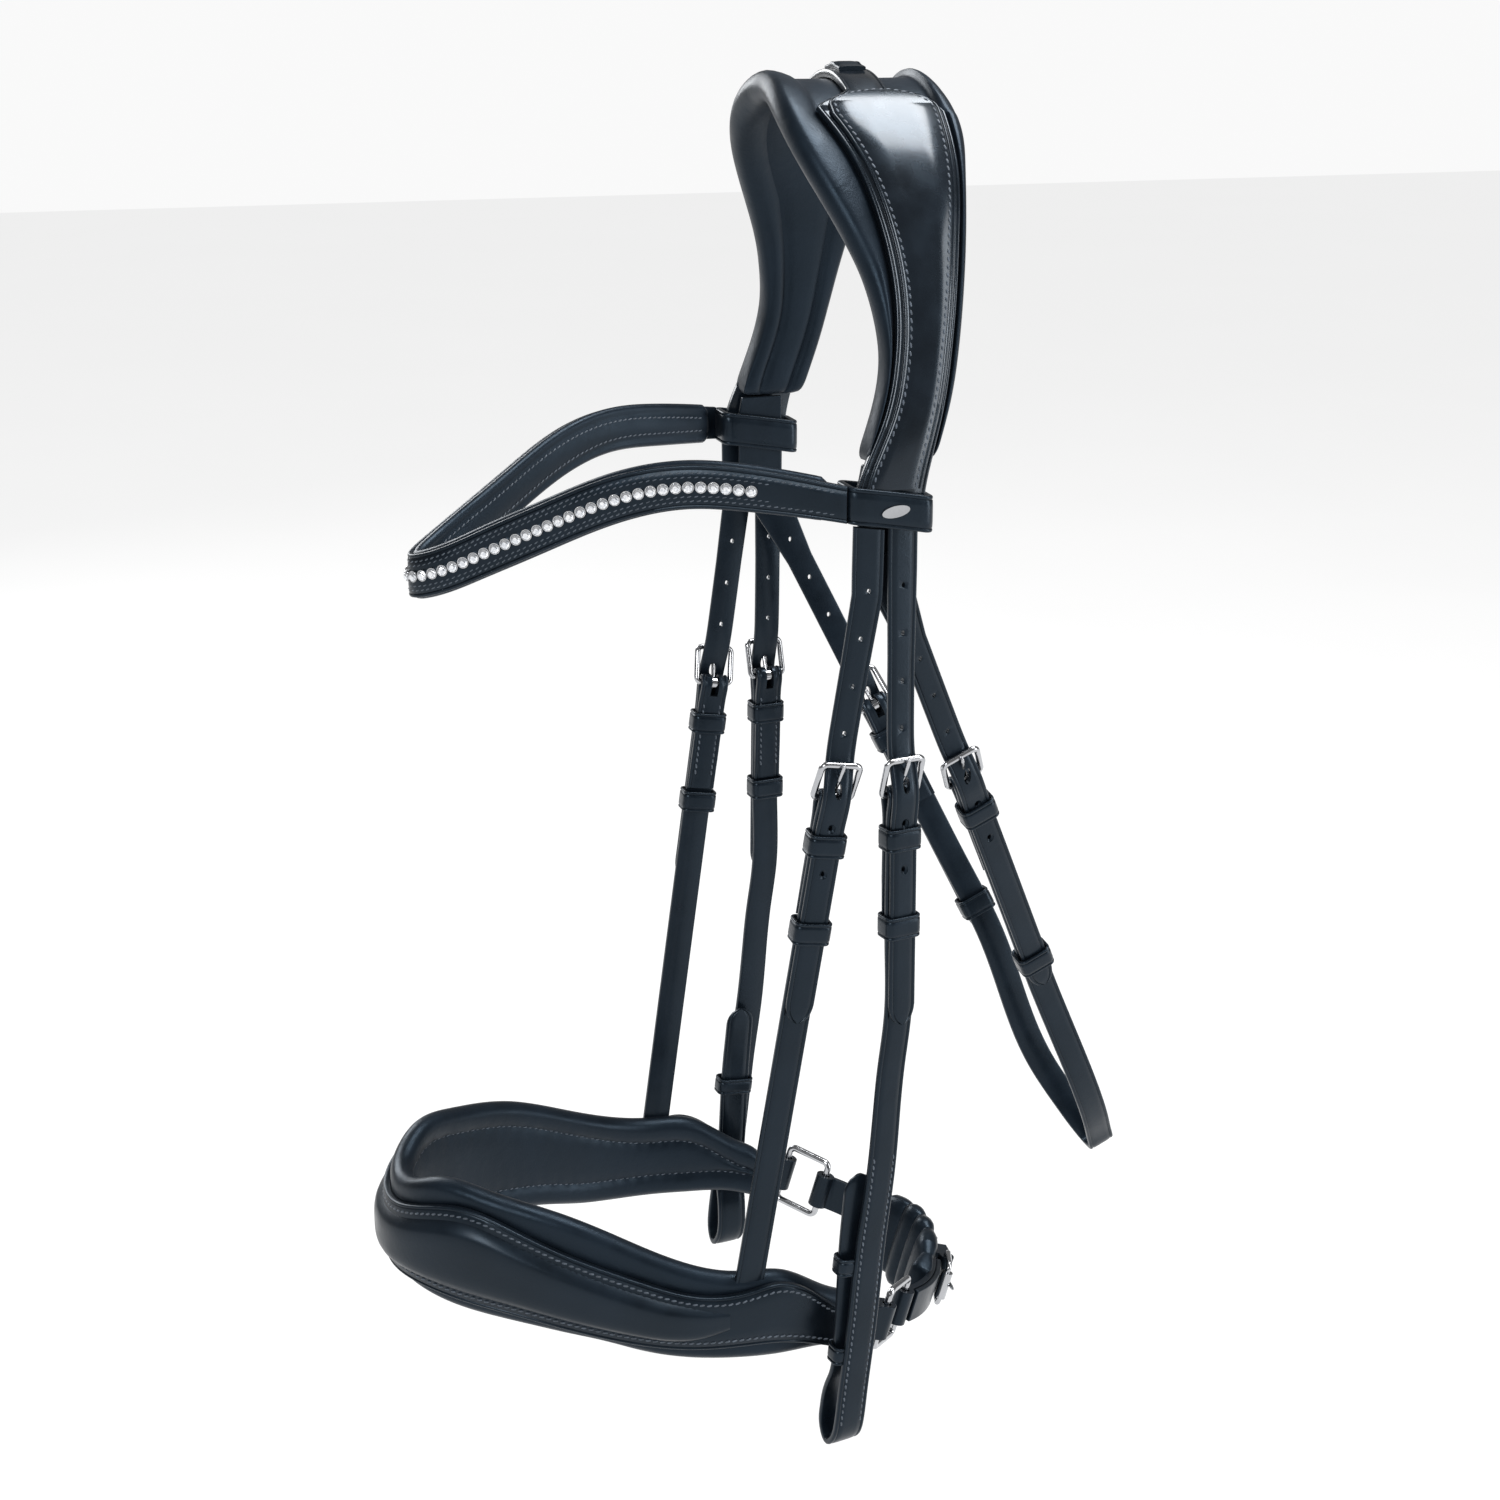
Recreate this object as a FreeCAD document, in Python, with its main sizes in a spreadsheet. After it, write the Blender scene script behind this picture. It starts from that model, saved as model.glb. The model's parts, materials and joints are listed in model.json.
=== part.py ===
import FreeCAD, Part
import math
import os

import Sketcher
from FreeCAD import Placement, Rotation, Vector

# Snaffle bridle, in millimetres.  +X is the horse's left, -Y its nose, +Z up.
# The origin is the underside of the crown padding, where the bridle rests on the poll.

doc = FreeCAD.newDocument("snaffle_bridle")

# ---------------------------------------------------------------- driving dimensions

SIZES = {
    # straps and billets
    "strap_width": 12.0,
    "strap_thick": 2.4,
    "billet_thick": 2.2,
    "billet_width": 11.4,
    "double_length": 48.0,
    # buckles
    "wire_radius": 1.25,
    "bar_gap": 15.0,
    "bar_rise": 4.8,
    "frame_width": 18.0,
    "prong_radius": 0.85,
    "eye_clearance": 0.06,
    "fold_clearance": 0.15,
    # keepers
    "keeper_wall": 1.2,
    "keeper_tall": 9.0,
    "keeper_gap": 0.45,
    # crown
    "arch_centre": -140.0,
    "crown_half": 84.0,
    "crown_rise": 151.5,
    "crown_thick": 3.4,
    "overlay_thick": 1.6,
    "pad_thick": 9.4,
    "split_level": -168.0,
    # browband
    "brow_thick": 2.6,
    "brow_lining_thick": 3.6,
    "crystal_radius": 2.0,
    "crystal_pitch": 4.7,
    # noseband
    "nose_thick": 3.0,
    "nose_pad_thick": 9.0,
    "panel_thick": 3.2,
    # chin and rings
    "ring_radius": 1.5,
    "ring_depth": 20.0,
    "ring_tall": 26.0,
    "ring_half": 65.0,
    "chin_strap_tall": 15.0,
    "chin_pad_tall": 40.0,
    "chin_pad_thick": 9.0,
    "chin_tilt": 17.0,
    # throatlash
    "throat_tilt": 24.7,
    "throat_lean": 12.1,
    "throat_half": 77.0,
    "throat_length": 339.0,
    # bit loops
    "loop_depth": 14.0,
}

sheet = doc.addObject("Spreadsheet::Sheet", "sizes")
for row, (alias, value) in enumerate(SIZES.items(), start=1):
    sheet.set("A%d" % row, alias)
    sheet.set("B%d" % row, str(value))
    sheet.setAlias("B%d" % row, alias)
doc.recompute()


def size(alias):
    """The value of one cell of the sheet."""
    return float(sheet.get(alias))


# ---------------------------------------------------------------- sketching helpers

FAR = 700.0          # a length that passes everything
X_AXIS = Vector(1, 0, 0)
Y_AXIS = Vector(0, 1, 0)
Z_AXIS = Vector(0, 0, 1)


def turn(axis, angle):
    return Rotation(axis, angle)


def new_body(label):
    body = doc.addObject("PartDesign::Body", label)
    body.Label = label
    return body


def new_sketch(body, role, label):
    """A sketch on one of the body's own origin planes: XY_Plane, XZ_Plane or YZ_Plane."""
    sketch = body.newObject("Sketcher::SketchObject", label)
    plane = [item for item in body.Origin.OriginFeatures if item.Role == role][0]
    sketch.AttachmentSupport = (plane, [""])
    sketch.MapMode = "FlatFace"
    return sketch


def flat(points):
    return [Vector(u, v, 0) for u, v in points]


def add_polygon(sketch, points):
    corners = flat(points)
    for start, end in zip(corners, corners[1:] + corners[:1]):
        sketch.addGeometry(Part.LineSegment(start, end))


def add_circle(sketch, centre, radius_alias=None, radius=None, formula=None):
    """A circle whose radius is bound to a cell, or to a formula of cells."""
    first = radius if radius else size(radius_alias)
    index = sketch.addGeometry(Part.Circle(Vector(centre[0], centre[1], 0), Vector(0, 0, 1), first))
    constraint = sketch.addConstraint(Sketcher.Constraint("Radius", index, first))
    bound = formula if formula else "sizes." + radius_alias
    sketch.setExpression("Constraints[%d]" % constraint, bound)


def add_box(sketch, low, high, wide=None, tall=None):
    """A rectangle; wide and tall are formulas of cells that drive its sides."""
    corners = flat([low, (high[0], low[1]), high, (low[0], high[1])])
    first = sketch.GeometryCount
    for start, end in zip(corners, corners[1:] + corners[:1]):
        sketch.addGeometry(Part.LineSegment(start, end))
    for side in range(4):
        sketch.addConstraint(Sketcher.Constraint("Coincident", first + side, 2, first + (side + 1) % 4, 1))
    sketch.addConstraint(Sketcher.Constraint("Horizontal", first))
    sketch.addConstraint(Sketcher.Constraint("Horizontal", first + 2))
    sketch.addConstraint(Sketcher.Constraint("Vertical", first + 1))
    sketch.addConstraint(Sketcher.Constraint("Vertical", first + 3))
    sketch.addConstraint(Sketcher.Constraint("DistanceX", -1, 1, first, 1, low[0]))
    sketch.addConstraint(Sketcher.Constraint("DistanceY", -1, 1, first, 1, low[1]))
    across = sketch.addConstraint(Sketcher.Constraint("DistanceX", first, 1, first, 2, high[0] - low[0]))
    rise = high[1] - low[1]
    upward = sketch.addConstraint(Sketcher.Constraint("DistanceY", first + 1, 1, first + 1, 2, rise))
    if wide:
        sketch.setExpression("Constraints[%d]" % across, wide)
    if tall:
        sketch.setExpression("Constraints[%d]" % upward, tall)


def spline(points):
    curve = Part.BSplineCurve()
    curve.interpolate(flat(points))
    return curve


def add_ribbon(sketch, side_a, side_b):
    """A closed outline: two smooth sides that run the same way, joined by straight ends."""
    curve_a = spline(side_a)
    curve_b = spline(side_b)
    sketch.addGeometry(curve_a)
    sketch.addGeometry(curve_b)
    sketch.addGeometry(Part.LineSegment(curve_a.StartPoint, curve_b.StartPoint))
    sketch.addGeometry(Part.LineSegment(curve_a.EndPoint, curve_b.EndPoint))


def add_frame(sketch, reach):
    """The far square that turns an outline into the waste around it."""
    add_polygon(sketch, [(-reach, -reach), (reach, -reach), (reach, reach), (-reach, reach)])


def pad(body, sketch, formula):
    """Thicken a sketch evenly to both sides."""
    feature = body.newObject("PartDesign::Pad", sketch.Label + "_pad")
    feature.Profile = sketch
    feature.Midplane = True
    feature.Length = 10.0
    feature.setExpression("Length", formula)
    doc.recompute()
    return feature


def pocket(body, sketch, length=2 * FAR):
    """Cut a sketch evenly to both sides, right through unless told otherwise."""
    before = body.Shape.Volume
    feature = body.newObject("PartDesign::Pocket", sketch.Label + "_pocket")
    feature.Profile = sketch
    feature.Midplane = True
    feature.Type = "Length"
    feature.Length = length
    doc.recompute()
    if not body.Shape.Volume < before - 0.01:
        raise RuntimeError("%s cuts nothing" % sketch.Label)
    return feature


def trim(body, role, label, side_a, side_b):
    """Keep only what lies inside a ribbon-shaped outline, seen square to one plane."""
    sketch = new_sketch(body, role, label)
    add_frame(sketch, FAR)
    add_ribbon(sketch, side_a, side_b)
    pocket(body, sketch)


def trim_polygon(body, role, label, points):
    sketch = new_sketch(body, role, label)
    add_frame(sketch, FAR)
    add_polygon(sketch, points)
    pocket(body, sketch)


def cut_slots(body, role, label, boxes):
    sketch = new_sketch(body, role, label)
    for low, high in boxes:
        add_polygon(sketch, [low, (high[0], low[1]), high, (low[0], high[1])])
    pocket(body, sketch)


def offset_side(points, distance):
    """The points moved sideways, square to the smooth line through them."""
    curve = spline(points)
    moved = []
    for u, v in points:
        parameter = curve.parameter(Vector(u, v, 0))
        tangent = curve.tangent(parameter)[0]
        moved.append((u - tangent.y * distance, v + tangent.x * distance))
    return moved


def mirrored(points):
    """A list of half-plan points from the middle out, doubled about the middle."""
    left = [(u, v) for u, v in points if u > 0]
    middle = [(u, v) for u, v in points if u == 0]
    return list(reversed(left)) + middle + [(-u, v) for u, v in left]


# ---------------------------------------------------------------- the pieces of a buckled strap
#
# A buckled strap has its own frame: +X is the outer face, Y runs across the strap, +Z runs up it,
# and the buckle's heel bar lies on Y through the origin.

FOLD_RADIUS = size("wire_radius") + size("fold_clearance") + size("strap_thick")
FRAME_LENGTH = math.hypot(size("bar_gap"), size("bar_rise"))
FRAME_TILT = math.degrees(math.atan2(size("bar_rise"), size("bar_gap")))
TONGUE_REST = size("wire_radius") + size("prong_radius") + 0.2
TONGUE_TILT = FRAME_TILT + math.degrees(math.asin(TONGUE_REST / FRAME_LENGTH))
BILLET_OUT = FOLD_RADIUS + 0.3 + size("billet_thick") / 2
BILLET_FLAT = size("strap_thick") + 0.35 + size("billet_thick") / 2
BILLET_UNDER = size("bar_rise") - size("wire_radius") - 0.45 - size("billet_thick") / 2
BILLET_TOP = 0.6
HOLE_STEP = 18.7
HOLE_LEVELS = [8 + HOLE_STEP * step for step in (3, 2, 1, -1, -2)]
EYE_SLOT = 1.7


def billet(label, top, tip, top_half, unit):
    """The holed end from above: it dips behind the top bar, rides over the fold, ends in a tip."""
    body = new_body(label)
    path = [(BILLET_TOP, top), (BILLET_TOP, top * 0.7), (BILLET_TOP, 42), (BILLET_TOP + 0.1, 30),
            (BILLET_UNDER, 15), (BILLET_OUT - 0.3, 4), (BILLET_OUT, -2), (BILLET_FLAT + 0.4, -9),
            (BILLET_FLAT, -16), (BILLET_FLAT, -30), (BILLET_FLAT, tip * 0.6), (BILLET_FLAT, tip)]
    half = size("billet_thick") / 2
    profile = new_sketch(body, "XZ_Plane", label + "_profile")
    add_ribbon(profile, offset_side(path, half), offset_side(path, -half))
    pad(body, profile, "sizes.strap_width * 3")
    side = size("billet_width") / 2
    outline = [(-top_half, top), (-side, top - 34), (-side, tip + 8), (-side * 0.62, tip + 2.2),
               (0, tip), (side * 0.62, tip + 2.2), (side, tip + 8), (side, top - 34), (top_half, top)]
    trim_polygon(body, "YZ_Plane", label + "_outline", outline)
    cut_slots(body, "YZ_Plane", label + "_tongue_hole", [((-1.5, 1.5), (1.5, 14.8))])
    holes = new_sketch(body, "YZ_Plane", label + "_holes")
    for level in HOLE_LEVELS:
        add_circle(holes, (0, level), formula="sizes.prong_radius + 0.45", radius=1.3)
    pocket(body, holes)
    body.Placement = unit
    return body


def wire_frame(label, wide, tall, radius_alias, corner, placement):
    """A rectangular wire loop: its first bar lies on Y through the origin, its last bar at +Z."""
    body = new_body(label)
    profile = new_sketch(body, "XZ_Plane", label + "_wire")
    add_circle(profile, (0, 0), radius_alias)
    path = new_sketch(body, "YZ_Plane", label + "_path")
    half = wide / 2
    bend = corner * math.cos(math.radians(45))
    corners = [(half, 0, -1, 1), (half, tall, -1, -1), (-half, tall, 1, -1), (-half, 0, 1, 1)]
    points = [(0, 0)]
    for u, v, inward, upward in corners:
        first = (u + inward * corner, v) if (upward == 1) == (u > 0) else (u, v + upward * corner)
        last = (u, v + upward * corner) if (upward == 1) == (u > 0) else (u + inward * corner, v)
        middle = (u + inward * (corner - bend), v + upward * (corner - bend))
        path.addGeometry(Part.LineSegment(*flat([points[-1], first])))
        path.addGeometry(Part.Arc(*flat([first, middle, last])))
        points.append(last)
    path.addGeometry(Part.LineSegment(*flat([points[-1], (0, 0)])))
    doc.recompute()
    pipe = body.newObject("PartDesign::AdditivePipe", label + "_pipe")
    pipe.Profile = profile
    pipe.Spine = path
    doc.recompute()
    body.Placement = placement
    return body


def buckle(label, unit):
    wide = size("frame_width") - 2 * size("wire_radius")
    tilt = Placement(Vector(0, 0, 0), Rotation(Vector(0, 1, 0), FRAME_TILT))
    return wire_frame(label, wide, FRAME_LENGTH, "wire_radius", 2.2, unit.multiply(tilt))


def tongue(label, reach, placement):
    """A buckle's tongue: an eye that turns on the bar, and a tapered pin along its own +Z."""
    body = new_body(label)
    eye = new_sketch(body, "XZ_Plane", label + "_eye")
    add_circle(eye, (0, 0), formula="sizes.wire_radius + sizes.eye_clearance + 1.4", radius=2.7)
    add_circle(eye, (0, 0), formula="sizes.wire_radius + sizes.eye_clearance", radius=1.3)
    pad(body, eye, "sizes.prong_radius * 2 + 0.5")
    pin = new_sketch(body, "XZ_Plane", label + "_pin")
    thick = size("prong_radius")
    add_polygon(pin, [(0, 2.2), (thick, 2.2), (thick, reach - 3), (thick * 0.7, reach - 0.6), (0, reach)])
    doc.recompute()
    turned = body.newObject("PartDesign::Revolution", label + "_turned")
    turned.Profile = pin
    turned.ReferenceAxis = (pin, ["V_Axis"])
    turned.Angle = 360
    doc.recompute()
    body.Placement = placement
    return body


def strap_tongue(label, unit):
    tilt = Placement(Vector(0, 0, 0), Rotation(Vector(0, 1, 0), TONGUE_TILT))
    return tongue(label, FRAME_LENGTH + 2.6, unit.multiply(tilt))


def keeper(label, low, high, half, level, unit, tall="sizes.keeper_tall"):
    """A flat leather band round the strap between two X values, its middle at one level."""
    body = new_body(label)
    wall = size("keeper_wall")
    ring = new_sketch(body, "XY_Plane", label + "_ring")
    add_box(ring, (low - wall, -half - wall), (high + wall, half + wall))
    add_box(ring, (low, -half), (high, half))
    pad(body, ring, tall)
    body.Placement = unit.multiply(Placement(Vector(0, 0, level), Rotation()))
    return body


def strap_keeper(label, level, unit):
    gap = size("keeper_gap")
    low = -size("strap_thick") - 0.05 - gap
    high = BILLET_FLAT + size("billet_thick") / 2 + gap
    return keeper(label, low, high, size("strap_width") / 2 + gap, level, unit)


def folded_end(body, label):
    """The strap's buckle end: a fold round the heel bar and the turned-in double stretch."""
    fold = new_sketch(body, "XZ_Plane", label + "_fold")
    add_circle(fold, (0, 0), formula="sizes.wire_radius + sizes.fold_clearance + sizes.strap_thick",
               radius=FOLD_RADIUS)
    pad(body, fold, "sizes.strap_width * 4")
    double = new_sketch(body, "XZ_Plane", label + "_double")
    thick = size("strap_thick")
    add_box(double, (-thick, -size("double_length")), (thick, 0),
            wide="sizes.strap_thick * 2", tall="sizes.double_length")
    pad(body, double, "sizes.strap_width * 4")


def cut_fold(body, label):
    """Bore the fold for the bar, and slot it for the tongue's eye."""
    bore = new_sketch(body, "XZ_Plane", label + "_bar_hole")
    add_circle(bore, (0, 0), formula="sizes.wire_radius + sizes.fold_clearance", radius=1.4)
    pocket(body, bore)
    cut_slots(body, "YZ_Plane", label + "_eye_slot", [((-EYE_SLOT, -5.5), (EYE_SLOT, FOLD_RADIUS + 1))])


def single_layer(body, label, path):
    half = size("strap_thick") / 2
    layer = new_sketch(body, "XZ_Plane", label + "_layer")
    add_ribbon(layer, offset_side(path, half), offset_side(path, -half))
    pad(body, layer, "sizes.strap_width * 4")


def group(label, members):
    """Several separate solids of one kind, kept together as one node."""
    compound = doc.addObject("Part::Compound", label)
    compound.Label = label
    compound.Links = members
    doc.recompute()
    return compound


NODES = []


def keep(*pieces):
    NODES.extend(pieces)


# ---------------------------------------------------------------- cheekpieces

CHEEK_TOP = 88.0
CHEEK_TIP = -94.0
RETURN_TIP = -159.0
LOOP_TOP = -244.0
LOOP_BOTTOM = -277.0


def cheek_strap(label, forward, unit):
    """One strap: it hangs from the fold, turns round the bit at the bottom and comes back up."""
    body = new_body(label)
    folded_end(body, label)
    outer = size("strap_thick") / 2
    depth = size("loop_depth")
    inner = outer - 5.2
    path = [(outer, -40), (outer, -75), (outer, -110), (outer, -145), (outer, -180), (outer, -215),
            (outer, LOOP_TOP + 4), (outer, LOOP_TOP - 8), (outer - 0.1, LOOP_BOTTOM + 12),
            (outer - depth * 0.16, LOOP_BOTTOM + 4.2), (outer - depth * 0.45, LOOP_BOTTOM + 1.2),
            (outer - depth * 0.78, LOOP_BOTTOM + 5), (outer - depth * 0.86, LOOP_BOTTOM + 14),
            (inner - 4.2, LOOP_TOP - 8), (inner - 1.2, LOOP_TOP - 1), (inner - 0.1, LOOP_TOP + 6),
            (inner, LOOP_TOP + 16), (inner, -205), (inner, -182), (inner, RETURN_TIP)]
    single_layer(body, label, path)
    half = size("strap_width") / 2
    sweep = [(0, 12), (0, -20), (0, -60), (0, -92), (2.6, -112), (4.8, -135), (7.2, -160),
             (11, -186), (15, -222), (19.5, -256), (22.5, -284)]
    centre = [(forward * shift, level) for shift, level in sweep]
    trim(body, "YZ_Plane", label + "_outline", offset_side(centre, half), offset_side(centre, -half))
    cut_fold(body, label)
    body.Placement = unit
    return body


def cheek_shift(level):
    """How far forward the lower strap's middle lies at one level."""
    return 11 + (-186 - level) * 0.125


def bit_hook(label, forward, unit):
    """The stud that the returned end hooks on: a shank and a flat head between the two layers."""
    body = new_body(label)
    level = -221.0
    face = -2.6
    shank = new_sketch(body, "XZ_Plane", label + "_stud")
    add_polygon(shank, [(face + 2.3, level), (face + 2.3, level + 2.6), (face + 1.2, level + 2.6),
                        (face + 1.2, level + 1.3), (face - 0.15, level + 1.3), (face - 0.15, level)])
    doc.recompute()
    turned = body.newObject("PartDesign::Revolution", label + "_turned")
    turned.Profile = shank
    axis = body.newObject("PartDesign::Line", label + "_axis")
    axis.Placement = Placement(Vector(0, 0, level), Rotation(Vector(0, 1, 0), 90))
    turned.ReferenceAxis = (axis, [""])
    turned.Angle = 360
    doc.recompute()
    shift = forward * cheek_shift(level)
    body.Placement = unit.multiply(Placement(Vector(0, shift, 0), Rotation()))
    return body


def cheekpiece(side, forward, unit):
    """Everything of one cheekpiece; forward is the sign of the nose's direction on its own Y."""
    strap = cheek_strap("cheek_strap_" + side, forward, unit)
    top = billet("cheek_billet_" + side, CHEEK_TOP, CHEEK_TIP, 6.2, unit)
    frame = buckle("cheek_buckle_" + side, unit)
    pin = strap_tongue("cheek_tongue_" + side, unit)
    runner = strap_keeper("cheek_runner_" + side, -53, unit)
    fixed = strap_keeper("cheek_fixed_keeper_" + side, -17, unit)
    wide = size("strap_width") / 2 + size("keeper_gap") + 0.9
    low = size("strap_thick") - 5.2 - size("strap_thick") - 0.8
    high = size("strap_thick") + 0.5
    levels = {"return": -197.0, "loop": LOOP_TOP + 8}
    lower = []
    for name, level in levels.items():
        shift = Placement(Vector(0, forward * cheek_shift(level), level), turn(X_AXIS, forward * 7.1))
        lower.append(keeper("cheek_%s_keeper_%s" % (name, side), low, high, wide, 0,
                            unit.multiply(shift), tall="sizes.keeper_tall * 0.8"))
    keepers = group("cheek_keepers_" + side, [fixed] + lower)
    hook = bit_hook("bit_hook_" + side, forward, unit)
    keep(strap, top, frame, pin, runner, keepers, hook)


cheek_left_unit = Placement(Vector(81.6, -4.5, -257), turn(Z_AXIS, 10).multiply(turn(Y_AXIS, -0.5)))
cheek_right_unit = Placement(Vector(-83.0, -4.5, -257), turn(Z_AXIS, 186).multiply(turn(Y_AXIS, -1.0)))
cheekpiece("left", -1, cheek_left_unit)
cheekpiece("right", 1, cheek_right_unit)


# ---------------------------------------------------------------- noseband hangers

HANGER_TOP = 88.6
HANGER_TIP = -92.0
HANGER_END = -228.0


def hanger_strap(label, unit):
    body = new_body(label)
    folded_end(body, label)
    outer = size("strap_thick") / 2
    single_layer(body, label, [(outer, -40), (outer, -100), (outer, -160), (outer, HANGER_END)])
    half = size("strap_width") / 2
    trim_polygon(body, "YZ_Plane", label + "_outline",
                 [(-half, HANGER_END), (half, HANGER_END), (half, 12), (-half, 12)])
    cut_fold(body, label)
    body.Placement = unit
    return body


def hanger(side, unit):
    strap = hanger_strap("hanger_strap_" + side, unit)
    top = billet("hanger_billet_" + side, HANGER_TOP, HANGER_TIP, 6.2, unit)
    frame = buckle("hanger_buckle_" + side, unit)
    pin = strap_tongue("hanger_tongue_" + side, unit)
    runner = strap_keeper("hanger_runner_" + side, -54, unit)
    keep(strap, top, frame, pin, runner)
    return strap_keeper("hanger_fixed_keeper_" + side, -18, unit)


hanger_lean = turn(Y_AXIS, 2.35).multiply(turn(X_AXIS, -8.5))
hanger_lean_right = turn(Z_AXIS, 180).multiply(turn(Y_AXIS, 2.35)).multiply(turn(X_AXIS, 8.5))
hanger_left_keeper = hanger("left", Placement(Vector(78.8, -30.8, -257), hanger_lean))
hanger_right_keeper = hanger("right", Placement(Vector(-78.8, -30.8, -257), hanger_lean_right))
keep(group("hanger_keepers", [hanger_left_keeper, hanger_right_keeper]))


# ---------------------------------------------------------------- throatlash

THROAT_START = Vector(0, -14, -158)
THROAT_BUCKLE = 118.0
THROAT_TIP = -116.0
throat_frame = Placement(THROAT_START, turn(X_AXIS, size("throat_tilt")))


def throat_half_at(down):
    """Half the width between the two sides, at a distance down the throatlash."""
    return size("throat_half") - down * math.tan(math.radians(size("throat_lean")))


def throat_unit(side):
    """The frame of one side's buckle."""
    lean = turn(Y_AXIS, size("throat_lean"))
    if side > 0:
        rotation = lean
    else:
        rotation = turn(Z_AXIS, 180).multiply(lean)
    place = Vector(side * throat_half_at(THROAT_BUCKLE), 0, -THROAT_BUCKLE)
    return throat_frame.multiply(Placement(place, rotation))


def throat_strap():
    """One strap from buckle to buckle, hung in a V with a round bottom."""
    label = "throatlash_strap"
    body = new_body(label)
    lean = math.radians(size("throat_lean"))
    half = size("strap_thick") / 2
    along = Vector(-math.sin(lean), -math.cos(lean), 0)
    across = Vector(math.cos(lean), -math.sin(lean), 0)
    bar = Vector(throat_half_at(THROAT_BUCKLE), -THROAT_BUCKLE, 0)
    start = bar + along * 38 + across * half
    bottom_half = 5.0
    low = -size("throat_length") + bottom_half
    steps = [0.0, 0.33, 0.66, 0.97]
    reach = (start.x - bottom_half - 1) / math.sin(lean)
    arm = [start + along * (reach * step) for step in steps]
    bend = [(bottom_half - 0.6, low - 1), (bottom_half * 0.6, low - 3.6), (0, low - bottom_half)]
    half_path = [(point.x, point.y) for point in arm] + bend
    path = half_path + [(-u, v) for u, v in reversed(half_path[:-1])]
    layer = new_sketch(body, "XZ_Plane", label + "_layer")
    add_ribbon(layer, offset_side(path, half), offset_side(path, -half))
    pad(body, layer, "sizes.strap_width")
    for side in (1, -1):
        centre = (side * bar.x, bar.y)
        fold = new_sketch(body, "XZ_Plane", "%s_fold_%d" % (label, side + 1))
        add_circle(fold, centre, radius=FOLD_RADIUS,
                   formula="sizes.wire_radius + sizes.fold_clearance + sizes.strap_thick")
        pad(body, fold, "sizes.strap_width")
        thick = across * size("strap_thick")
        deep = bar + along * size("double_length")
        corners = [bar + thick, bar - thick, deep - thick, deep + thick]
        double = new_sketch(body, "XZ_Plane", "%s_double_%d" % (label, side + 1))
        add_polygon(double, [(side * corner.x, corner.y) for corner in corners])
        pad(body, double, "sizes.strap_width")
    for side in (1, -1):
        bore = new_sketch(body, "XZ_Plane", "%s_bar_hole_%d" % (label, side + 1))
        add_circle(bore, (side * bar.x, bar.y), radius=1.4,
                   formula="sizes.wire_radius + sizes.fold_clearance")
        pocket(body, bore)
    cut_slots(body, "YZ_Plane", label + "_eye_slots",
              [((-EYE_SLOT, bar.y - 5.5), (EYE_SLOT, bar.y + FOLD_RADIUS + 1))])
    body.Placement = throat_frame
    return body


def throatlash():
    keep(throat_strap())
    keepers = []
    for side, name in ((1, "left"), (-1, "right")):
        unit = throat_unit(side)
        keep(billet("throat_billet_" + name, 107, THROAT_TIP, 10, unit))
        keep(buckle("throat_buckle_" + name, unit))
        keep(strap_tongue("throat_tongue_" + name, unit))
        keep(strap_keeper("throat_runner_" + name, -102, unit))
        keepers.append(strap_keeper("throat_fixed_keeper_" + name, -16, unit))
    keep(group("throat_keepers", keepers))


throatlash()


# ---------------------------------------------------------------- headpiece

ARCH_STEPS = 8
CROWN_END = size("split_level")
PAD_END = -128.0

LEATHER_REAR = [(2.5, -175), (2.5, -150), (3.5, -138), (7, -123), (11.5, -106), (15, -88), (18.5, -68),
                (22.5, -45), (26.5, -22), (27.5, -3)]
LEATHER_FRONT = [(-24.5, -175), (-24.5, -150), (-24, -140), (-19.5, -126), (-12.5, -110), (-8, -92),
                 (-6, -74), (-6.5, -55), (-9, -38), (-13, -22), (-18, -10), (-23.5, 0)]
PAD_REAR = [(5.5, -140), (9.5, -124), (15, -106), (19, -88), (22.5, -68), (26.5, -45), (31, -22),
            (34, -8), (33, 6), (30, 16)]
PAD_FRONT = [(-21, -140), (-19, -124), (-14, -106), (-11, -90), (-12, -76), (-15.5, -60),
             (-21, -45), (-27.5, -30), (-33.5, -15), (-37, 0), (-37, 8), (-35, 16)]


def arch(half_width, rise, end):
    """Points of half an ellipse over the poll that runs straight down at both sides to one level."""
    centre = size("arch_centre")
    points = []
    if end < centre - 4:
        points += [(half_width, end), (half_width, (end + centre) / 2)]
    for step in range(2 * ARCH_STEPS + 1):
        angle = math.pi * step / (2 * ARCH_STEPS)
        points.append((half_width * math.cos(angle), centre + rise * math.sin(angle)))
    if end < centre - 4:
        points += [(-half_width, (end + centre) / 2), (-half_width, end)]
    return points


def arch_body(label, outer_gap, thick, end):
    """A band over the poll, its outer face a given gap inside the crown's outer face."""
    body = new_body(label)
    half = size("crown_half") - outer_gap
    rise = size("crown_rise") - outer_gap
    profile = new_sketch(body, "XZ_Plane", label + "_profile")
    add_ribbon(profile, arch(half, rise, end), arch(half - thick, rise - thick, end))
    pad(body, profile, "sizes.strap_width * 8")
    return body


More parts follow.
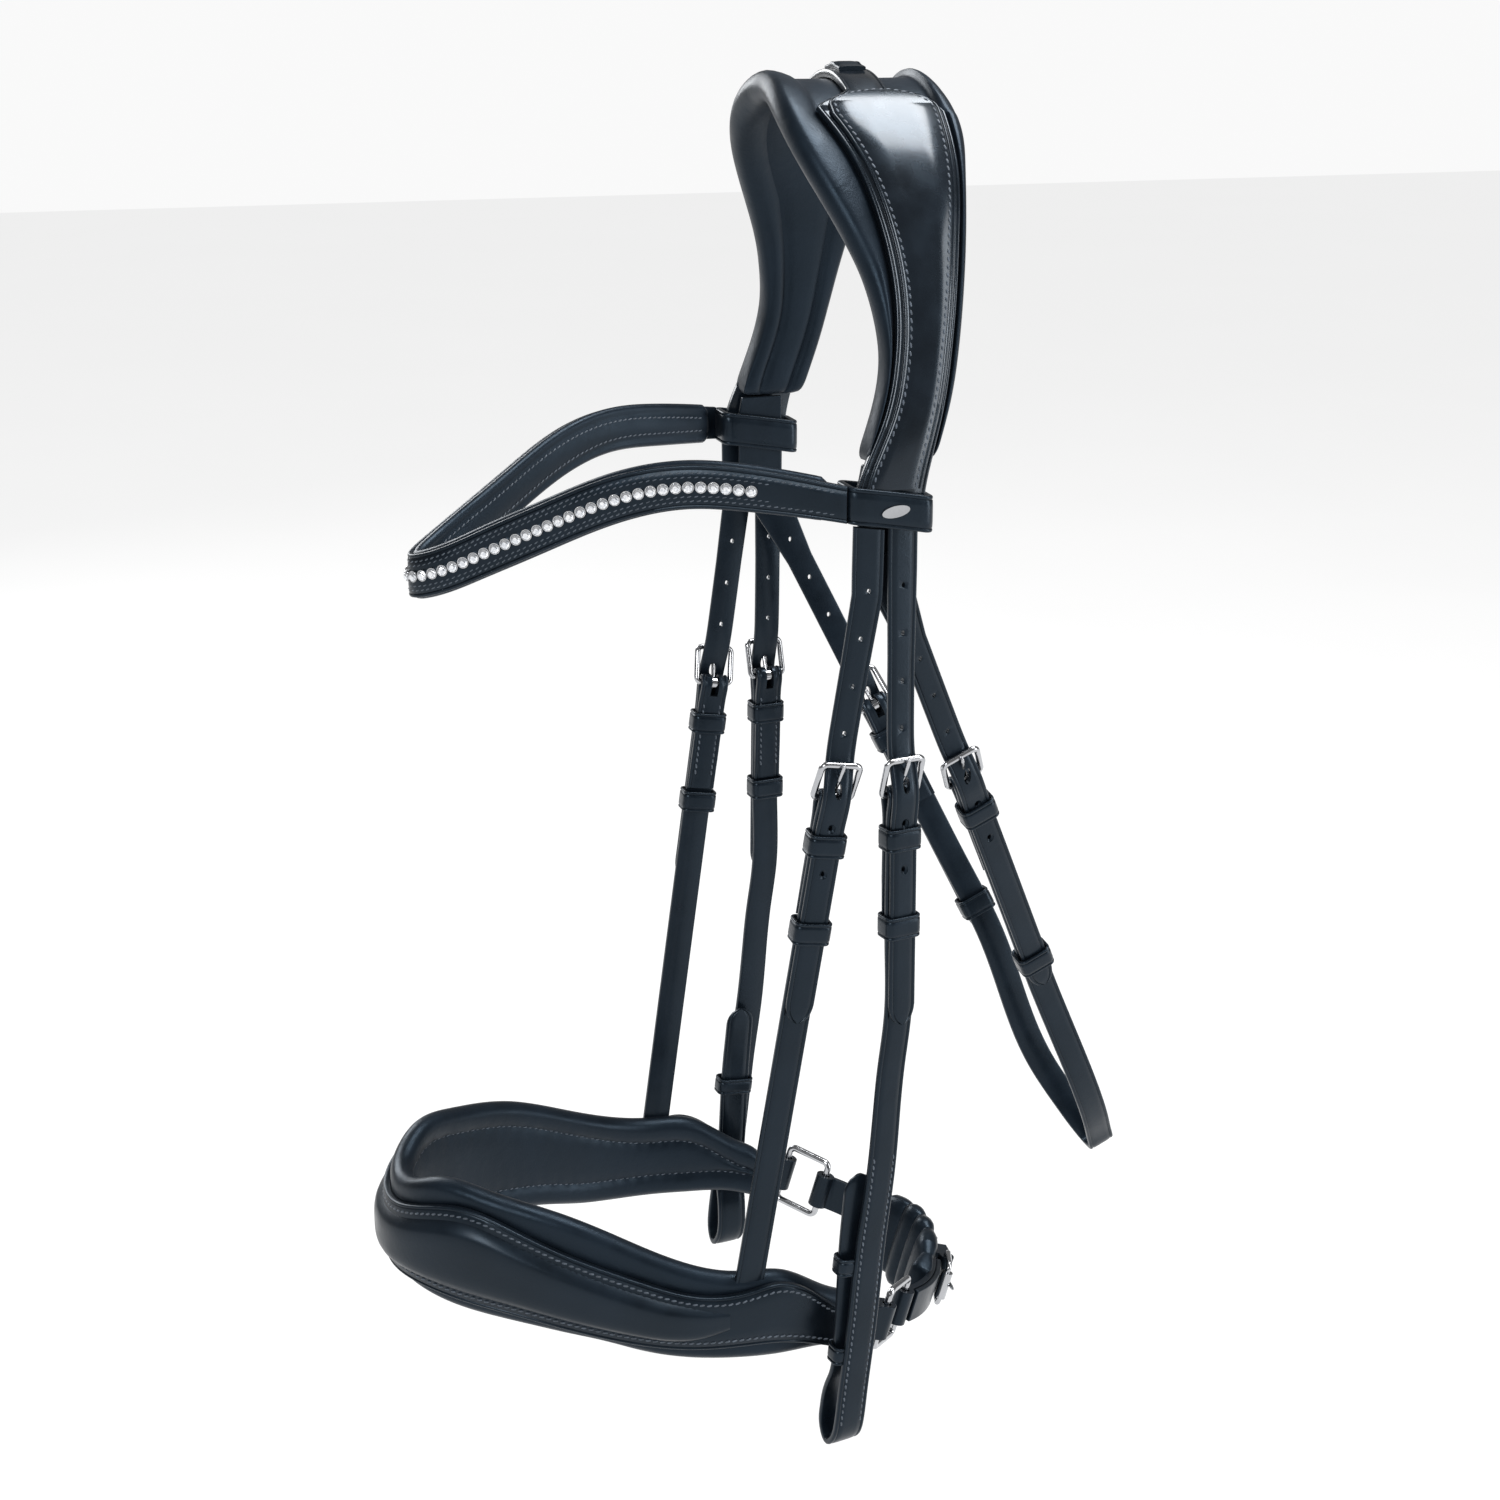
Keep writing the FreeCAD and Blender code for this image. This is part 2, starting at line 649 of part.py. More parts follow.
def headpiece_strap():
    """The crown leather with its narrow bridge at the poll and the slit into two billets a side."""
    label = "headpiece_strap"
    body = arch_body(label, 0, size("crown_thick"), CROWN_END)
    bridge_half = 8.0
    outline = new_sketch(body, "YZ_Plane", label + "_edges")
    add_frame(outline, FAR)
    rear_curve = spline(LEATHER_REAR)
    front_curve = spline(LEATHER_FRONT)
    outline.addGeometry(rear_curve)
    outline.addGeometry(front_curve)
    outline.addGeometry(Part.LineSegment(rear_curve.StartPoint, front_curve.StartPoint))
    rear_neck = [rear_curve.EndPoint, Vector(bridge_half + 5, 3.4, 0), Vector(bridge_half, 5.5, 0),
                 Vector(bridge_half, 30, 0)]
    front_neck = [front_curve.EndPoint, Vector(-bridge_half - 6, 3.4, 0), Vector(-bridge_half, 5.5, 0),
                  Vector(-bridge_half, 30, 0)]
    for neck in (rear_neck, front_neck):
        for start, end in zip(neck, neck[1:]):
            outline.addGeometry(Part.LineSegment(start, end))
    outline.addGeometry(Part.LineSegment(rear_neck[-1], front_neck[-1]))
    pocket(body, outline)
    slit = [((-11.4, CROWN_END - 10), (-10.8, CROWN_END + 13))]
    cut_slots(body, "YZ_Plane", label + "_slit", slit)
    return body


def throat_layer(label, side):
    """The inner layer that the throatlash billet is cut from, sewn inside the crown leather."""
    body = new_body(label)
    profile = new_sketch(body, "XZ_Plane", label + "_profile")
    outer = size("crown_half") - size("crown_thick") - 3.4
    face = outer - 1.0
    back = face - size("billet_thick")
    add_polygon(profile, [(side * back, -180), (side * face, -180),
                          (side * face, -129), (side * back, -129)])
    pad(body, profile, "sizes.strap_width * 8")
    slant = math.tan(math.radians(size("throat_tilt")))
    low = CROWN_END + 0.8
    edges = [(-20, low - 10.6 * slant), (-1, low + 8.4 * slant), (-1, -120), (-17, -120), (-20, -136)]
    trim_polygon(body, "YZ_Plane", label + "_edges", edges)
    return body


def overlay(label, side):
    """The stitched top layer of one side of the crown, inset from the crown leather's edges."""
    thick = size("overlay_thick")
    body = arch_body(label, -thick - 0.05, thick, CROWN_END)
    inset = 2.6
    rear = [(y - inset, z) for y, z in LEATHER_REAR[2:-1]] + [(25, -6)]
    front = [(y + inset, z) for y, z in LEATHER_FRONT[3:-1]] + [(-19.5, -3)]
    outline = new_sketch(body, "YZ_Plane", label + "_edges")
    add_frame(outline, FAR)
    rear_curve = spline(rear)
    front_curve = spline(front)
    outline.addGeometry(rear_curve)
    outline.addGeometry(front_curve)
    outline.addGeometry(Part.LineSegment(rear_curve.StartPoint, front_curve.StartPoint))
    crest = Part.Arc(rear_curve.EndPoint, Vector(4, 2.5, 0), front_curve.EndPoint)
    outline.addGeometry(crest)
    pocket(body, outline)
    keep_side = new_sketch(body, "XZ_Plane", label + "_side")
    add_frame(keep_side, FAR)
    add_polygon(keep_side, [(side * 9, -300), (side * 200, -300), (side * 200, 100), (side * 9, 100)])
    pocket(body, keep_side)
    return body


def headpiece_padding():
    """The soft lining with a fat roll along each edge, recessed where the leather lies on it."""
    label = "headpiece_padding"
    body = arch_body(label + "_full", 0, size("crown_thick") + size("pad_thick"), PAD_END + 20)
    trim(body, "YZ_Plane", label + "_edges", PAD_REAR, PAD_FRONT)
    ends = new_sketch(body, "XZ_Plane", label + "_ends")
    add_polygon(ends, [(-200, -300), (200, -300), (200, PAD_END), (-200, PAD_END)])
    pocket(body, ends)
    recess = arch_body("headpiece_recess", -20, 20 + size("crown_thick") + 0.15, CROWN_END)
    margin = 0.8
    rear = [(y + margin, z) for y, z in LEATHER_REAR] + [(27.5 + margin, 6), (27.5 + margin, 14)]
    front = [(y - margin, z) for y, z in LEATHER_FRONT] + [(-23.5 - margin, 14)]
    trim(recess, "YZ_Plane", "headpiece_recess_edges", rear, front)
    cut = doc.addObject("Part::Cut", label)
    cut.Base = body
    cut.Tool = recess
    doc.recompute()
    return cut


def poll_bridge():
    """The narrow strip with a raised middle that lies across the poll over the crown leather."""
    label = "poll_bridge"
    body = arch_body(label, -1.8, 1.7, CROWN_END)
    outline = [(-5.5, 0), (5.5, 0), (5.5, 40), (-5.5, 40)]
    trim_polygon(body, "YZ_Plane", label + "_edges", outline)
    ends = new_sketch(body, "XZ_Plane", label + "_ends")
    add_frame(ends, FAR)
    add_polygon(ends, [(-8.6, 0), (8.6, 0), (8.6, 60), (-8.6, 60)])
    pocket(body, ends)
    return body


keep(headpiece_strap(), headpiece_padding(), poll_bridge())
for side, name in ((1, "left"), (-1, "right")):
    keep(overlay("headpiece_overlay_" + name, side))
keep(group("throat_layers", [throat_layer("throat_layer_left", 1), throat_layer("throat_layer_right", -1)]))


# ---------------------------------------------------------------- browband

BROW_PLAN = mirrored([(0, -176.5), (12.5, -167.5), (23, -150), (34, -131.5), (47, -109.5), (61, -82),
                      (70.5, -60), (77, -46.4), (82.3, -36.2), (85.1, -31)])
BROW_TOP = [(10, -141), (-12, -137), (-28, -134.5), (-45, -131.5), (-62, -129), (-82, -128),
            (-109, -134), (-131, -145), (-152, -156.5), (-171, -166.5), (-183, -171), (-195, -174)]
BROW_LOW = [(10, -155), (-12, -151), (-28, -148.5), (-45, -146.5), (-62, -145), (-82, -144.5),
            (-109, -152), (-131, -163.5), (-152, -175), (-171, -184), (-183, -187.5), (-195, -189)]
LOOP_INNER_X = (73.3, 85.2)
LOOP_INNER_Y = (-25.3, 3.4)


def height_at(curve, y):
    """The level of a wavy edge, drawn in Y and Z, at one Y."""
    edge = Part.LineSegment(Vector(y, -900, 0), Vector(y, 300, 0))
    return curve.intersect(edge)[0].Y


BAND_PATCHES = 10


def wavy_band(label, plan, top, low, near, far, inset=0.0, end_y=None, step=4.0):
    """A band that bends in plan while its edges wave: rows of four smooth faces and two flat ends.

    It lies between two distances inside the plan line, an inset in from both edges, and stops
    at end_y on both sides.  The near distance may be a line drawn in Y and distance.
    """
    near_curve = spline(near) if isinstance(near, list) else None
    line = spline(plan)
    top_curve = spline(top)
    low_curve = spline(low)
    count = int(line.length() / step)
    sections = []
    for index in range(count + 1):
        place = line.parameterAtDistance(line.length() * index / count, line.FirstParameter)
        point = line.value(place)
        if end_y is not None and point.y > end_y:
            continue
        tangent = line.tangent(place)[0]
        inward = Vector(tangent.y, -tangent.x, 0)
        depth = height_at(near_curve, point.y) if near_curve else near
        outer = point + inward * depth
        inner = point + inward * far
        high = height_at(top_curve, point.y) - inset
        deep = height_at(low_curve, point.y) + inset
        sections.append([Vector(outer.x, outer.y, high), Vector(inner.x, inner.y, high),
                         Vector(inner.x, inner.y, deep), Vector(outer.x, outer.y, deep)])
    corners = []
    for corner in zip(*sections):
        curve = Part.BSplineCurve()
        curve.interpolate(Points=list(corner), Parameters=[float(index) for index in range(len(sections))])
        corners.append(curve)
    last = len(sections) - 1
    breaks = [last * share // BAND_PATCHES for share in range(BAND_PATCHES + 1)]
    faces = []
    for start, end in zip(breaks, breaks[1:]):
        edges = [curve.toShape(start, end) for curve in corners]
        faces += [Part.makeRuledSurface(edges[index - 1], edges[index]) for index in range(4)]
    for section in (sections[0], sections[-1]):
        faces.append(Part.Face(Part.makePolygon(section + section[:1])))
    shell = Part.makeShell(faces)
    shell.sewShape()
    solid = Part.makeSolid(shell)
    if solid.Volume < 0:
        solid.reverse()
    feature = doc.addObject("Part::Feature", label)
    feature.Label = label
    feature.Shape = solid
    return feature


def brow_band(label, near, far, inset=0.0, end_y=None):
    return wavy_band(label, BROW_PLAN, BROW_TOP, BROW_LOW, near, far, inset, end_y)


def brow_loop(side):
    """One end loop: the leather goes round the headpiece and back on itself."""
    label = "browband_loop_%d" % (side + 1)
    body = new_body(label)
    thick = size("brow_thick")
    (x_low, x_high), (y_low, y_high) = LOOP_INNER_X, LOOP_INNER_Y
    ring = new_sketch(body, "XY_Plane", label + "_ring")
    add_box(ring, (min(side * (x_low - thick), side * (x_high + thick)), y_low - thick),
            (max(side * (x_low - thick), side * (x_high + thick)), y_high + thick))
    add_box(ring, (min(side * x_low, side * x_high), y_low), (max(side * x_low, side * x_high), y_high))
    pad(body, ring, "sizes.strap_width * 50")
    trim(body, "YZ_Plane", label + "_edges", BROW_TOP, BROW_LOW)
    return body


def crystal_row():
    """Small stones in metal cups, evenly spaced along the middle of the browband's outer face."""
    line = spline(offset_side(BROW_PLAN, 0.05))
    top = spline(BROW_TOP)
    low = spline(BROW_LOW)
    radius = size("crystal_radius")
    cup_tall = 0.8
    reach = -56.0
    stones = []
    cups = []
    place = line.FirstParameter
    while place < line.LastParameter:
        point = line.value(place)
        if point.y < reach:
            tangent = line.tangent(place)[0]
            out = Vector(-tangent.y, tangent.x, 0)
            level = (height_at(top, point.y) + height_at(low, point.y)) / 2
            base = Vector(point.x, point.y, level)
            cups.append(Part.makeCylinder(radius + 0.25, cup_tall, base, out))
            stones.append(Part.makeCone(radius, radius * 0.55, 1.2, base + out * cup_tall, out))
        wave = height_at(top, point.y - 1) - height_at(top, point.y + 1)
        slope = wave / 2 * abs(line.tangent(place)[0].y)
        place = line.parameterAtDistance(size("crystal_pitch") / math.hypot(1, slope), place)
    for label, solids in (("browband_cups", cups), ("browband_crystals", stones)):
        feature = doc.addObject("Part::Feature", label)
        feature.Label = label
        feature.Shape = Part.makeCompound(solids)
        keep(feature)


def brow_badge():
    """A plain oval metal badge on the outer face of the left loop."""
    body = new_body("browband_badge")
    face = new_sketch(body, "YZ_Plane", "browband_badge_face")
    face.addGeometry(Part.Ellipse(Vector(5.5, 0, 0), Vector(0, 2.2, 0), Vector(0, 0, 0)))
    pad(body, face, "sizes.overlay_thick / 2")
    out = LOOP_INNER_X[1] + size("brow_thick") + size("overlay_thick") / 4 + 0.02
    body.Placement = Placement(Vector(out, -10, -144.5), turn(X_AXIS, 9))
    return body


def browband():
    thick = size("brow_thick")
    keep(brow_band("browband_leather", 0, thick), group("browband_loops", [brow_loop(1), brow_loop(-1)]))
    lining = size("brow_lining_thick")
    keep(brow_band("browband_lining", thick + 0.05, thick + lining, -0.6, -34))
    crystal_row()
    keep(brow_badge())


browband()


# ---------------------------------------------------------------- noseband

NOSE_PLAN = mirrored([(0, -196), (16, -192.5), (30, -182), (42, -167), (52, -150), (59, -134),
                      (64.5, -118), (69.5, -102), (74, -84), (76.4, -66), (76.4, -48), (74.3, -30),
                      (70.8, -11)])
NOSE_TOP = [(0, -489), (-8, -486), (-24, -479), (-40, -466), (-50, -462.5), (-62, -464), (-83, -464),
            (-105, -457), (-136, -444), (-154, -435), (-172, -429), (-186, -432), (-197, -437),
            (-210, -442)]
NOSE_LOW = [(0, -507), (-8, -504.5), (-24, -498), (-40, -491.5), (-50, -489), (-62, -488), (-83, -487.5),
            (-105, -485), (-136, -477.5), (-154, -473), (-172, -470), (-186, -467.5), (-197, -466),
            (-210, -465)]
NOSE_PAD_TOP = [(0, -487), (-14, -479), (-24, -474), (-46, -461), (-66, -458.5), (-82, -455),
                (-105, -445.5), (-120, -438), (-135, -431.5), (-150, -427), (-164, -423.5), (-182, -421),
                (-197, -429), (-210, -436)]
NOSE_PAD_LOW = [(0, -506), (-14, -503), (-24, -500), (-46, -498), (-66, -496.5), (-82, -495),
                (-105, -491), (-120, -486.5), (-135, -483), (-150, -480), (-164, -478), (-182, -475),
                (-197, -471), (-210, -469)]
PANEL_TOP = [(-60, -470.5), (-72, -471.5), (-83, -469.5), (-105, -462.5), (-136, -449.5), (-154, -441),
             (-172, -435), (-186, -438), (-197, -443), (-210, -448)]
PANEL_LOW = [(-60, -478.5), (-72, -480), (-83, -482), (-105, -480), (-136, -472.5), (-154, -468),
             (-172, -465), (-186, -462.5), (-197, -461), (-210, -460)]


def noseband():
    thick = size("nose_thick")
    keep(wavy_band("noseband_leather", NOSE_PLAN, NOSE_TOP, NOSE_LOW, 0, thick))
    panel = size("panel_thick")
    keep(wavy_band("noseband_panel", NOSE_PLAN, PANEL_TOP, PANEL_LOW, -panel, -0.05, end_y=-70))
    deep = thick + size("nose_pad_thick")
    gap = thick + 0.6
    hollow = thick + 4.9
    near = [(20, gap), (0, gap), (-16, gap), (-28, gap + 0.2), (-37, gap + 1.2), (-50, hollow),
            (-63, hollow + 0.2), (-76, hollow), (-89, gap + 1.2), (-98, gap + 0.2), (-112, gap),
            (-130, gap), (-160, gap), (-220, gap)]
    keep(wavy_band("noseband_padding", NOSE_PLAN, NOSE_PAD_TOP, NOSE_PAD_LOW, near, deep))


noseband()


# ---------------------------------------------------------------- rings and chin strap
#
# The chin pieces share a frame that tilts down towards the back: Z runs along the rings' bars.

RING_ANGLE = 45.0
CHIN_BOW = 30.0
chin_frame = Placement(Vector(0, -1.5, -494), turn(X_AXIS, -size("chin_tilt")))
ring_reach = Vector(-math.sin(math.radians(RING_ANGLE)), math.cos(math.radians(RING_ANGLE)), 0)
rear_bar = Vector(size("ring_half"), 0, 0) + ring_reach * size("ring_depth")
CHIN_RADIUS = (rear_bar.x ** 2 + CHIN_BOW ** 2) / (2 * CHIN_BOW)
chin_centre = Vector(0, rear_bar.y + CHIN_BOW - CHIN_RADIUS, 0)
EYE_INNER = size("ring_radius") + 0.5
EYE_OUTER = EYE_INNER + 2.2


def chin_point(radius, degrees):
    """A point in plan, on a circle round the chin's own centre; 0 is the middle of the back."""
    angle = math.radians(degrees)
    return (chin_centre.x + radius * math.sin(angle), chin_centre.y + radius * math.cos(angle))


def chin_arc(sketch, near, far, first, last):
    """A curved strip in plan between two radii and two angles."""
    middle = (first + last) / 2
    inner = [chin_point(near, angle) for angle in (first, middle, last)]
    outer = [chin_point(far, angle) for angle in (first, middle, last)]
    sketch.addGeometry(Part.Arc(*flat(inner)))
    sketch.addGeometry(Part.Arc(*flat(outer)))
    sketch.addGeometry(Part.LineSegment(*flat([inner[0], outer[0]])))
    sketch.addGeometry(Part.LineSegment(*flat([inner[2], outer[2]])))


def ring(label, side):
    reach = Vector(side * ring_reach.x, ring_reach.y, 0)
    bar = Vector(0, 0, 1)
    rotation = Rotation(bar.cross(reach), bar, reach, "ZYX")
    place = chin_frame.multiply(Placement(Vector(side * size("ring_half"), 0, 0), rotation))
    return wire_frame(label, size("ring_tall"), size("ring_depth"), "ring_radius", 2.6, place)


def ring_chape(label, side):
    """The folded tab at the noseband's end that holds a ring's front bar."""
    body = new_body(label)
    centre = (side * size("ring_half"), 0)
    fold = new_sketch(body, "XY_Plane", label + "_fold")
    add_circle(fold, centre, formula="sizes.ring_radius + 2.7", radius=EYE_OUTER)
    pad(body, fold, "sizes.chin_strap_tall")
    tab = new_sketch(body, "XY_Plane", label + "_tab")
    half = EYE_OUTER
    add_polygon(tab, [(centre[0] - half, 0), (centre[0] - half, -7.5),
                      (centre[0] + half, -7.5), (centre[0] + half, 0)])
    pad(body, tab, "sizes.chin_strap_tall")
    bore = new_sketch(body, "XY_Plane", label + "_bore")
    add_circle(bore, centre, formula="sizes.ring_radius + 0.5", radius=EYE_INNER)
    pocket(body, bore)
    body.Placement = chin_frame
    return body


CHIN_HALF = size("strap_thick") / 2
END_ANGLE = math.degrees(math.atan2(rear_bar.x, rear_bar.y - chin_centre.y))
BUCKLE_ANGLE = 13.0
CHIN_FRAME_RADIUS = CHIN_RADIUS + 7.0
CHIN_BAR_GAP = 14.0
ROLLER_RADIUS = 2.5
CHIN_KEEPERS = (-0.8, -13.0)


def chin_strap():
    """The strap behind the jaw: an eye round each ring's rear bar and a fold for the buckle."""
    label = "chin_strap"
    body = new_body(label)
    strip = new_sketch(body, "XY_Plane", label + "_strip")
    chin_arc(strip, CHIN_RADIUS - CHIN_HALF, CHIN_RADIUS + CHIN_HALF, -END_ANGLE, END_ANGLE)
    pad(body, strip, "sizes.chin_strap_tall")
    for side in (1, -1):
        eye = new_sketch(body, "XY_Plane", "%s_eye_%d" % (label, side + 1))
        add_circle(eye, (side * rear_bar.x, rear_bar.y), formula="sizes.ring_radius + 2.7", radius=EYE_OUTER)
        pad(body, eye, "sizes.chin_strap_tall")
    fold = new_sketch(body, "XY_Plane", label + "_fold")
    heel = chin_point(CHIN_FRAME_RADIUS, BUCKLE_ANGLE)
    add_circle(fold, heel, radius=3.4, formula="sizes.wire_radius + 2.15")
    pad(body, fold, "sizes.chin_strap_tall")
    web = new_sketch(body, "XY_Plane", label + "_web")
    chin_arc(web, CHIN_RADIUS, CHIN_FRAME_RADIUS + 2.4, BUCKLE_ANGLE - 9, BUCKLE_ANGLE)
    pad(body, web, "sizes.chin_strap_tall")
    for side in (1, -1):
        bore = new_sketch(body, "XY_Plane", "%s_bore_%d" % (label, side + 1))
        add_circle(bore, (side * rear_bar.x, rear_bar.y), formula="sizes.ring_radius + 0.5", radius=EYE_INNER)
        pocket(body, bore)
    bar_hole = new_sketch(body, "XY_Plane", label + "_bar_hole")
    add_circle(bar_hole, heel, radius=1.4, formula="sizes.wire_radius + sizes.fold_clearance")
    pocket(body, bar_hole)
    slot = body.newObject("PartDesign::SubtractiveBox", label + "_eye_slot")
    slot.Length = 12
    slot.Width = 12
    slot.Height = 2 * EYE_SLOT
    slot.Placement = Placement(Vector(heel[0] - 6, heel[1] - 3.0, -EYE_SLOT), Rotation())
    doc.recompute()
    body.Placement = chin_frame
    return body


def chin_buckle_place(radius, degrees):
    """A frame on the chin curve: X points out, Y along the bars, Z round the curve to the left."""
    angle = math.radians(degrees)
    out = Vector(math.sin(angle), math.cos(angle), 0)
    bars = Vector(0, 0, 1)
    rotation = Rotation(out, bars, out.cross(bars), "ZYX")
    origin = Vector(*chin_point(radius, degrees), 0)
    return chin_frame.multiply(Placement(origin, rotation))


def chin_pieces():
    keep(chin_strap())
    body = new_body("chin_pad")
    strip = new_sketch(body, "XY_Plane", "chin_pad_plan")
    far = CHIN_RADIUS - CHIN_HALF - 0.1
    chin_arc(strip, far - size("chin_pad_thick"), far, -38, 38)
    pad(body, strip, "sizes.chin_pad_tall")
    tall = size("chin_pad_tall") / 2
    wide = 36.0
    trim_polygon(body, "XZ_Plane", "chin_pad_edges",
                 [(-wide, -8), (-wide, 8), (-22, tall - 3), (-8, tall), (8, tall), (22, tall - 3),
                  (wide, 8), (wide, -8), (22, 3 - tall), (8, -tall), (-8, -tall), (-22, 3 - tall)])
    notches = new_sketch(body, "XY_Plane", "chin_pad_notches")
    for degrees in CHIN_KEEPERS:
        chin_arc(notches, far - 1.9, far + 2, degrees - 5, degrees + 5)
    pocket(body, notches, size("chin_strap_tall") + 5)
    body.Placement = chin_frame
    keep(body)

    outer = new_body("chin_billet")
    layer = new_sketch(outer, "XY_Plane", "chin_billet_plan")
    near = CHIN_RADIUS + CHIN_HALF + 0.3
    chin_arc(layer, near, near + 2.2, BUCKLE_ANGLE + 5, END_ANGLE - 5)
    pad(outer, layer, "sizes.chin_strap_tall - 0.6")
    outer.Placement = chin_frame
    keep(outer)

    place = chin_buckle_place(CHIN_FRAME_RADIUS, BUCKLE_ANGLE)
    lean = Placement(Vector(0, 0, 0), turn(Y_AXIS, -7))
    place = place.multiply(lean)
    keep(wire_frame("chin_buckle", 19.0, CHIN_BAR_GAP, "wire_radius", 2.6, place))
    roller = new_body("chin_roller")
    tube = new_sketch(roller, "XZ_Plane", "chin_roller_ring")
    add_circle(tube, (0, 0), radius=ROLLER_RADIUS, formula="sizes.wire_radius * 2")
    add_circle(tube, (0, 0), radius=1.31, formula="sizes.wire_radius + sizes.eye_clearance")
    pad(roller, tube, "sizes.strap_width")
    roller.Placement = place.multiply(Placement(Vector(0, 0, CHIN_BAR_GAP), Rotation()))
    keep(roller)
    rest = math.degrees(math.asin((ROLLER_RADIUS + size("prong_radius") + 0.2) / CHIN_BAR_GAP))
    keep(tongue("chin_tongue", CHIN_BAR_GAP + 3.2, place.multiply(Placement(Vector(), turn(Y_AXIS, rest)))))

    keepers = []
    for degrees in CHIN_KEEPERS:
        keepers.append(keeper("chin_keeper_%d" % len(keepers), -CHIN_HALF - 0.25, CHIN_HALF + 3.2,
                              size("chin_strap_tall") / 2 + 0.6, 0,
                              chin_buckle_place(CHIN_RADIUS, degrees), tall="sizes.keeper_tall * 0.75"))
    keep(group("chin_keepers", keepers))


keep(ring("ring_left", 1), ring("ring_right", -1))
keep(group("ring_chapes", [ring_chape("ring_chape_left", 1), ring_chape("ring_chape_right", -1)]))
chin_pieces()


# ---------------------------------------------------------------- check and export

doc.recompute()
for item in doc.Objects:
    if "Invalid" in item.State or "Error" in item.State:
        raise RuntimeError("%s: %s" % (item.Label, item.State))
for node in NODES:
    if node.Shape.isNull() or not node.Shape.isValid():
        raise RuntimeError("%s has a bad shape" % node.Label)
os.makedirs("parts", exist_ok=True)
for node in NODES:
    node.Shape.exportStep("parts/%s.step" % node.Label)
    print("%-26s %2d solids %9.1f mm3" % (node.Label, len(node.Shape.Solids), node.Shape.Volume))
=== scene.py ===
import json
import math

import bmesh
import bpy
import numpy as np
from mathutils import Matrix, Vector


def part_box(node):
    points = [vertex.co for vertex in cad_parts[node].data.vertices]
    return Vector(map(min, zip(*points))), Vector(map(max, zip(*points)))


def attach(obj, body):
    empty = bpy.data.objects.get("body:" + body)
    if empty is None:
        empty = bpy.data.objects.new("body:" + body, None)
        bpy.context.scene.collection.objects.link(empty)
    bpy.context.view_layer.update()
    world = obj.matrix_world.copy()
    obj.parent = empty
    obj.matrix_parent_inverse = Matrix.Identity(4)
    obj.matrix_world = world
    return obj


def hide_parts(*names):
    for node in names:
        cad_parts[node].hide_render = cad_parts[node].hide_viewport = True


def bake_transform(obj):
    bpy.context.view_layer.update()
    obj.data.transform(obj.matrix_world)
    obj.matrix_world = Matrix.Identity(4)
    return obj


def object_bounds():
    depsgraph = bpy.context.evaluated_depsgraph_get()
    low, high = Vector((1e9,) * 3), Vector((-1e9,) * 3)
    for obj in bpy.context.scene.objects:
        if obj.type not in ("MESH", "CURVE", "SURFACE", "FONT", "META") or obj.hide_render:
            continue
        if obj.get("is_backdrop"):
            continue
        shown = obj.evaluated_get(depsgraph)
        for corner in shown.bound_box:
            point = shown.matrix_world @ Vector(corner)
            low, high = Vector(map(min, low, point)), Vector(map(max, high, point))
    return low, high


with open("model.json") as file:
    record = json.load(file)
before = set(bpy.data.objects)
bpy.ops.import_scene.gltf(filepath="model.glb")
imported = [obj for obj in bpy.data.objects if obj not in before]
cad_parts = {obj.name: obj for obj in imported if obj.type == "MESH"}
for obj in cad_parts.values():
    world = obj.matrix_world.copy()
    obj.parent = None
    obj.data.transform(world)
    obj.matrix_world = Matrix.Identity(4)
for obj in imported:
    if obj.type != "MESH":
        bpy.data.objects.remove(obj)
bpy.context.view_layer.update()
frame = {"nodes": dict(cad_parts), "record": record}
record = frame["record"]
JOINTS = {joint["name"]: joint for joint in record["behaviour"]["joints"]}
BODY_OF = {node: body for body, nodes in record["behaviour"]["bodies"].items() for node in nodes}
MM = 0.001
SIDES = ((1, "left"), (-1, "right"))


# ---------------------------------------------------------------- materials

def new_material(name):
    material = bpy.data.materials.new(name)
    material.use_nodes = True
    tree = material.node_tree
    return material, tree, tree.nodes["Principled BSDF"]


def add(tree, kind, **values):
    node = tree.nodes.new(kind)
    for key, value in values.items():
        if key in node.inputs:
            node.inputs[key].default_value = value
        else:
            setattr(node, key, value)
    return node


def noise(tree, coordinates, scale, detail=3.0, distortion=0.0):
    node = add(tree, "ShaderNodeTexNoise", Scale=scale, Detail=detail, Distortion=distortion)
    tree.links.new(coordinates, node.inputs["Vector"])
    return node.outputs["Fac"]


def ramp(tree, source, stops):
    node = add(tree, "ShaderNodeValToRGB")
    elements = node.color_ramp.elements
    while len(elements) < len(stops):
        elements.new(0.5)
    for element, (place, colour) in zip(elements, stops):
        element.position = place
        element.color = colour if len(colour) == 4 else (*colour, 1)
    tree.links.new(source, node.inputs["Fac"])
    return node.outputs["Color"]


def grey(value):
    return (value, value, value)


def mixed(tree, factor, first, second, blend="MIX"):
    node = add(tree, "ShaderNodeMix", data_type="RGBA", blend_type=blend)
    for socket, value in ((node.inputs[0], factor), (node.inputs[6], first), (node.inputs[7], second)):
        if isinstance(value, (int, float)):
            socket.default_value = value
        elif isinstance(value, tuple):
            socket.default_value = (*value, 1)
        else:
            tree.links.new(value, socket)
    return node.outputs[2]


def bumped(tree, shader, heights):
    """Chain several height fields, each (source, strength, distance), into the shader's normal."""
    last = None
    for source, strength, distance in heights:
        bump = add(tree, "ShaderNodeBump", Strength=strength, Distance=distance)
        tree.links.new(source, bump.inputs["Height"])
        if last:
            tree.links.new(last, bump.inputs["Normal"])
        last = bump.outputs["Normal"]
    tree.links.new(last, shader.inputs["Normal"])


